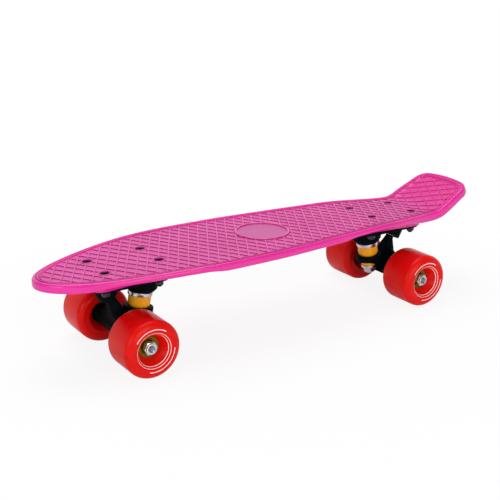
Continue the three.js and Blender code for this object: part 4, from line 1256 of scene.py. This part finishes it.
def is_printed(middle):
    """Whether the middle of a face lies in one of the printed rings."""
    if middle.z < OUTER_SIDE:
        return False
    radius = middle.xy.length / MM
    clock = math.degrees(math.atan2(middle.x, middle.y)) % 360
    if BROKEN_RING[0] < radius < BROKEN_RING[1]:
        return any(start <= clock + turns <= end for start, end in RING_ARCS for turns in (0, 360))
    return any(inner < radius < outer for inner, outer in WHOLE_RINGS)


soften(paint(wheel, 1, is_printed), 25)
printed = sum(face.material_index for face in wheel.data.polygons)
print("wheel:", len(wheel.data.polygons), "faces,", printed, "printed")

# %% Bearings and sleeves
BEARING_SECTION = [
    (9.35, 0), (10.6, 0), (11, 0.4), (11, 6.6), (10.6, 7), (9.35, 7), (9.2, 6.75), (8.9, 6.6), (7.2, 6.55),
    (6.75, 6.35), (6.7, 6.2), (6.7, 0.8), (6.75, 0.65), (7.2, 0.45), (8.9, 0.4), (9.2, 0.25), (9.35, 0),
]
SLEEVE_SECTION = rounded([
    (4.1, 0), (6.3, 0), (6.3, 7.2), (5.2, 7.4), (5.2, 16.4), (6.3, 16.6), (6.3, 23.6), (4.1, 23.6), (4.1, 0),
], 0.25, 2)
bearing = soften(finish_with(turn("bearing", BEARING_SECTION, 72), yellow_zinc))
# The inboard bearing is drawn all black, as painted shade inside the wheel
black_shade_bearing = finish_with(copy_piece(bearing, "black_shade_bearing", Matrix.Identity(4)), black_oxide)
sleeve = soften(finish_with(turn("sleeve", SLEEVE_SECTION, 56), bearing_race))

# Each pattern with its slot and the place of its own origin out along the axle, in millimetres
ON_AXLE = {
    "wheel": (wheel, "wheel_urethane", 54.25),
    "inboard_bearing": (black_shade_bearing, "black_steel", 41.5),
    "outboard_bearing": (bearing, "bearing_steel", 57.9),
    "bearing_sleeve": (sleeve, "zinc_steel", 41.3),
    "axle_nut": (axle_nut, "zinc_steel", 65.2),
}
TO_LEFT = Matrix.Rotation(math.radians(90), 4, "X")
OUTWARD = {"left": TO_LEFT, "right": Matrix.Rotation(math.pi, 4, "Z") @ TO_LEFT}
for end, axle_x in (("front", FRONT_AXLE_X), ("rear", REAR_AXLE_X)):
    for side, turned_out in OUTWARD.items():
        middle = Matrix.Translation((axle_x, 0, WHEEL_RADIUS * MM)) @ turned_out
        for piece, (pattern, slot_name, reach) in ON_AXLE.items():
            matrix = middle @ Matrix.Translation((0, 0, reach * MM))
            fit(pattern, f"{end}_{side}_{piece}", matrix)
discard(wheel, bearing, black_shade_bearing, sleeve, axle_nut)

# %% [markdown]
# ## Floor, backdrop and light
#
# The board stands on a sheet of white paper that the camera sees as white, with the board's own soft
# shadow. Three soft boxes light it: a wide one overhead, a small one from the left and one from the front.
# A shiny surface also mirrors the room. Behind the board the room is white, which is what makes the flat
# top of the deck look paler than its side, and behind the photographer it is dark, which keeps the trucks
# black. So the room is one brightness for the camera, a sweep from dark to white for mirrored rays, and a
# low even light for the rest.

# %% Light
TOWARDS_BACK = (0.55, 0.83, 0)
EVEN_LIGHT, DARK_ROOM = 0.32, 0.2
FLOOR_SIZE, FLOOR_DROP = 12, 0.4 * MM
SHADOW_GLOW, MIRROR_GLOW = 0.88, 0.25

bpy.context.scene.view_settings.view_transform = "Standard"
world = bpy.data.worlds.new("white room")
bpy.context.scene.world = world
world.use_nodes = True
room = world.node_tree
path = add(room, "LightPath").outputs
direction = add(room, "TexCoord").outputs["Generated"]
behind = add(room, "VectorMath", {"operation": "DOT_PRODUCT"}, {0: direction, 1: TOWARDS_BACK})
height = add(room, "SeparateXYZ", inputs={0: direction})
white_behind = add(room, "MapRange", inputs={"Value": behind.outputs["Value"], "From Max": 0.5})
dark_above = add(room, "MapRange", inputs={
    "Value": height.outputs["Z"], "From Min": 0.5, "From Max": 0.8, "To Min": 1, "To Max": 0,
})
sweep = add(room, "Math", {"operation": "MULTIPLY"}, {
    0: white_behind.outputs["Result"], 1: dark_above.outputs["Result"],
})
mirrored = add(room, "MapRange", inputs={"Value": sweep.outputs[0], "To Min": DARK_ROOM})
glossy = add(room, "Math", {"operation": "MULTIPLY"}, {
    0: mirrored.outputs["Result"], 1: path["Is Glossy Ray"],
})
diffuse = add(room, "MapRange", inputs={"Value": path["Is Glossy Ray"], "To Min": EVEN_LIGHT, "To Max": 0})
room_light = add(room, "Math", {"operation": "ADD"}, {0: glossy.outputs[0], 1: diffuse.outputs["Result"]})
seen = add(room, "Math", {"operation": "MAXIMUM"}, {0: path["Is Camera Ray"], 1: path["Is Transmission Ray"]})
strength = add(room, "Math", {"operation": "MAXIMUM"}, {0: seen.outputs[0], 1: room_light.outputs[0]})
connect(room, room.nodes["Background"], {"Color": linear("#FFFFFF"), "Strength": strength.outputs[0]})


def soft_box(name, spot, target, size, power):
    """A square area lamp that looks at a point."""
    lamp = bpy.data.lights.new(name, "AREA")
    lamp.energy, lamp.size = power, size
    obj = bpy.data.objects.new(name, lamp)
    bpy.context.scene.collection.objects.link(obj)
    obj.location = spot
    obj.rotation_euler = (Vector(target) - Vector(spot)).to_track_quat("-Z", "Y").to_euler()


soft_box("overhead soft box", (0.05, 0.4, 1.5), (0, 0, 0.05), 1.2, 14)
soft_box("left soft box", (-1.5, -0.6, 0.6), (-0.1, 0, 0.05), 0.7, 5)
soft_box("front soft box", (-0.2, -1.8, 0.8), (0, 0, 0.05), 1.2, 16)

bpy.ops.object.select_all(action="DESELECT")
bpy.ops.mesh.primitive_plane_add(size=FLOOR_SIZE, location=(0, 0, -FLOOR_DROP))
floor = named("floor")
# Close to the board the paper shows its shadow, and further out it glows as white as the room
paper, tree, shader, coords = finish_named("white paper sweep")
connect(tree, shader, {"Base Color": linear("#F9F9F9"), "Roughness": 0.9, "Specular IOR Level": 0.1})
away = add(tree, "VectorMath", {"operation": "LENGTH"}, {0: coords}).outputs["Value"]
path = add(tree, "LightPath").outputs
white_seen = add(tree, "MapRange", inputs={
    "Value": away, "From Min": 0.25, "From Max": 0.45, "To Min": SHADOW_GLOW,
})
white_mirrored = add(tree, "MapRange", inputs={
    "Value": away, "From Min": 0.25, "From Max": 0.6, "To Min": MIRROR_GLOW,
})
direct = add(tree, "Math", {"operation": "MULTIPLY"}, {
    0: path["Is Camera Ray"], 1: white_seen.outputs["Result"],
})
glossy = add(tree, "Math", {"operation": "MULTIPLY"}, {
    0: path["Is Glossy Ray"], 1: white_mirrored.outputs["Result"],
})
share = add(tree, "Math", {"operation": "MAXIMUM"}, {0: direct.outputs[0], 1: glossy.outputs[0]})
glow = add(tree, "Emission", inputs={"Color": linear("#FFFFFF"), "Strength": 1})
fade = add(tree, "MixShader", inputs={0: share.outputs[0], 1: shader.outputs[0], 2: glow.outputs[0]})
connect(tree, tree.nodes["Material Output"], {"Surface": fade.outputs[0]})
floor.data.materials.append(paper)
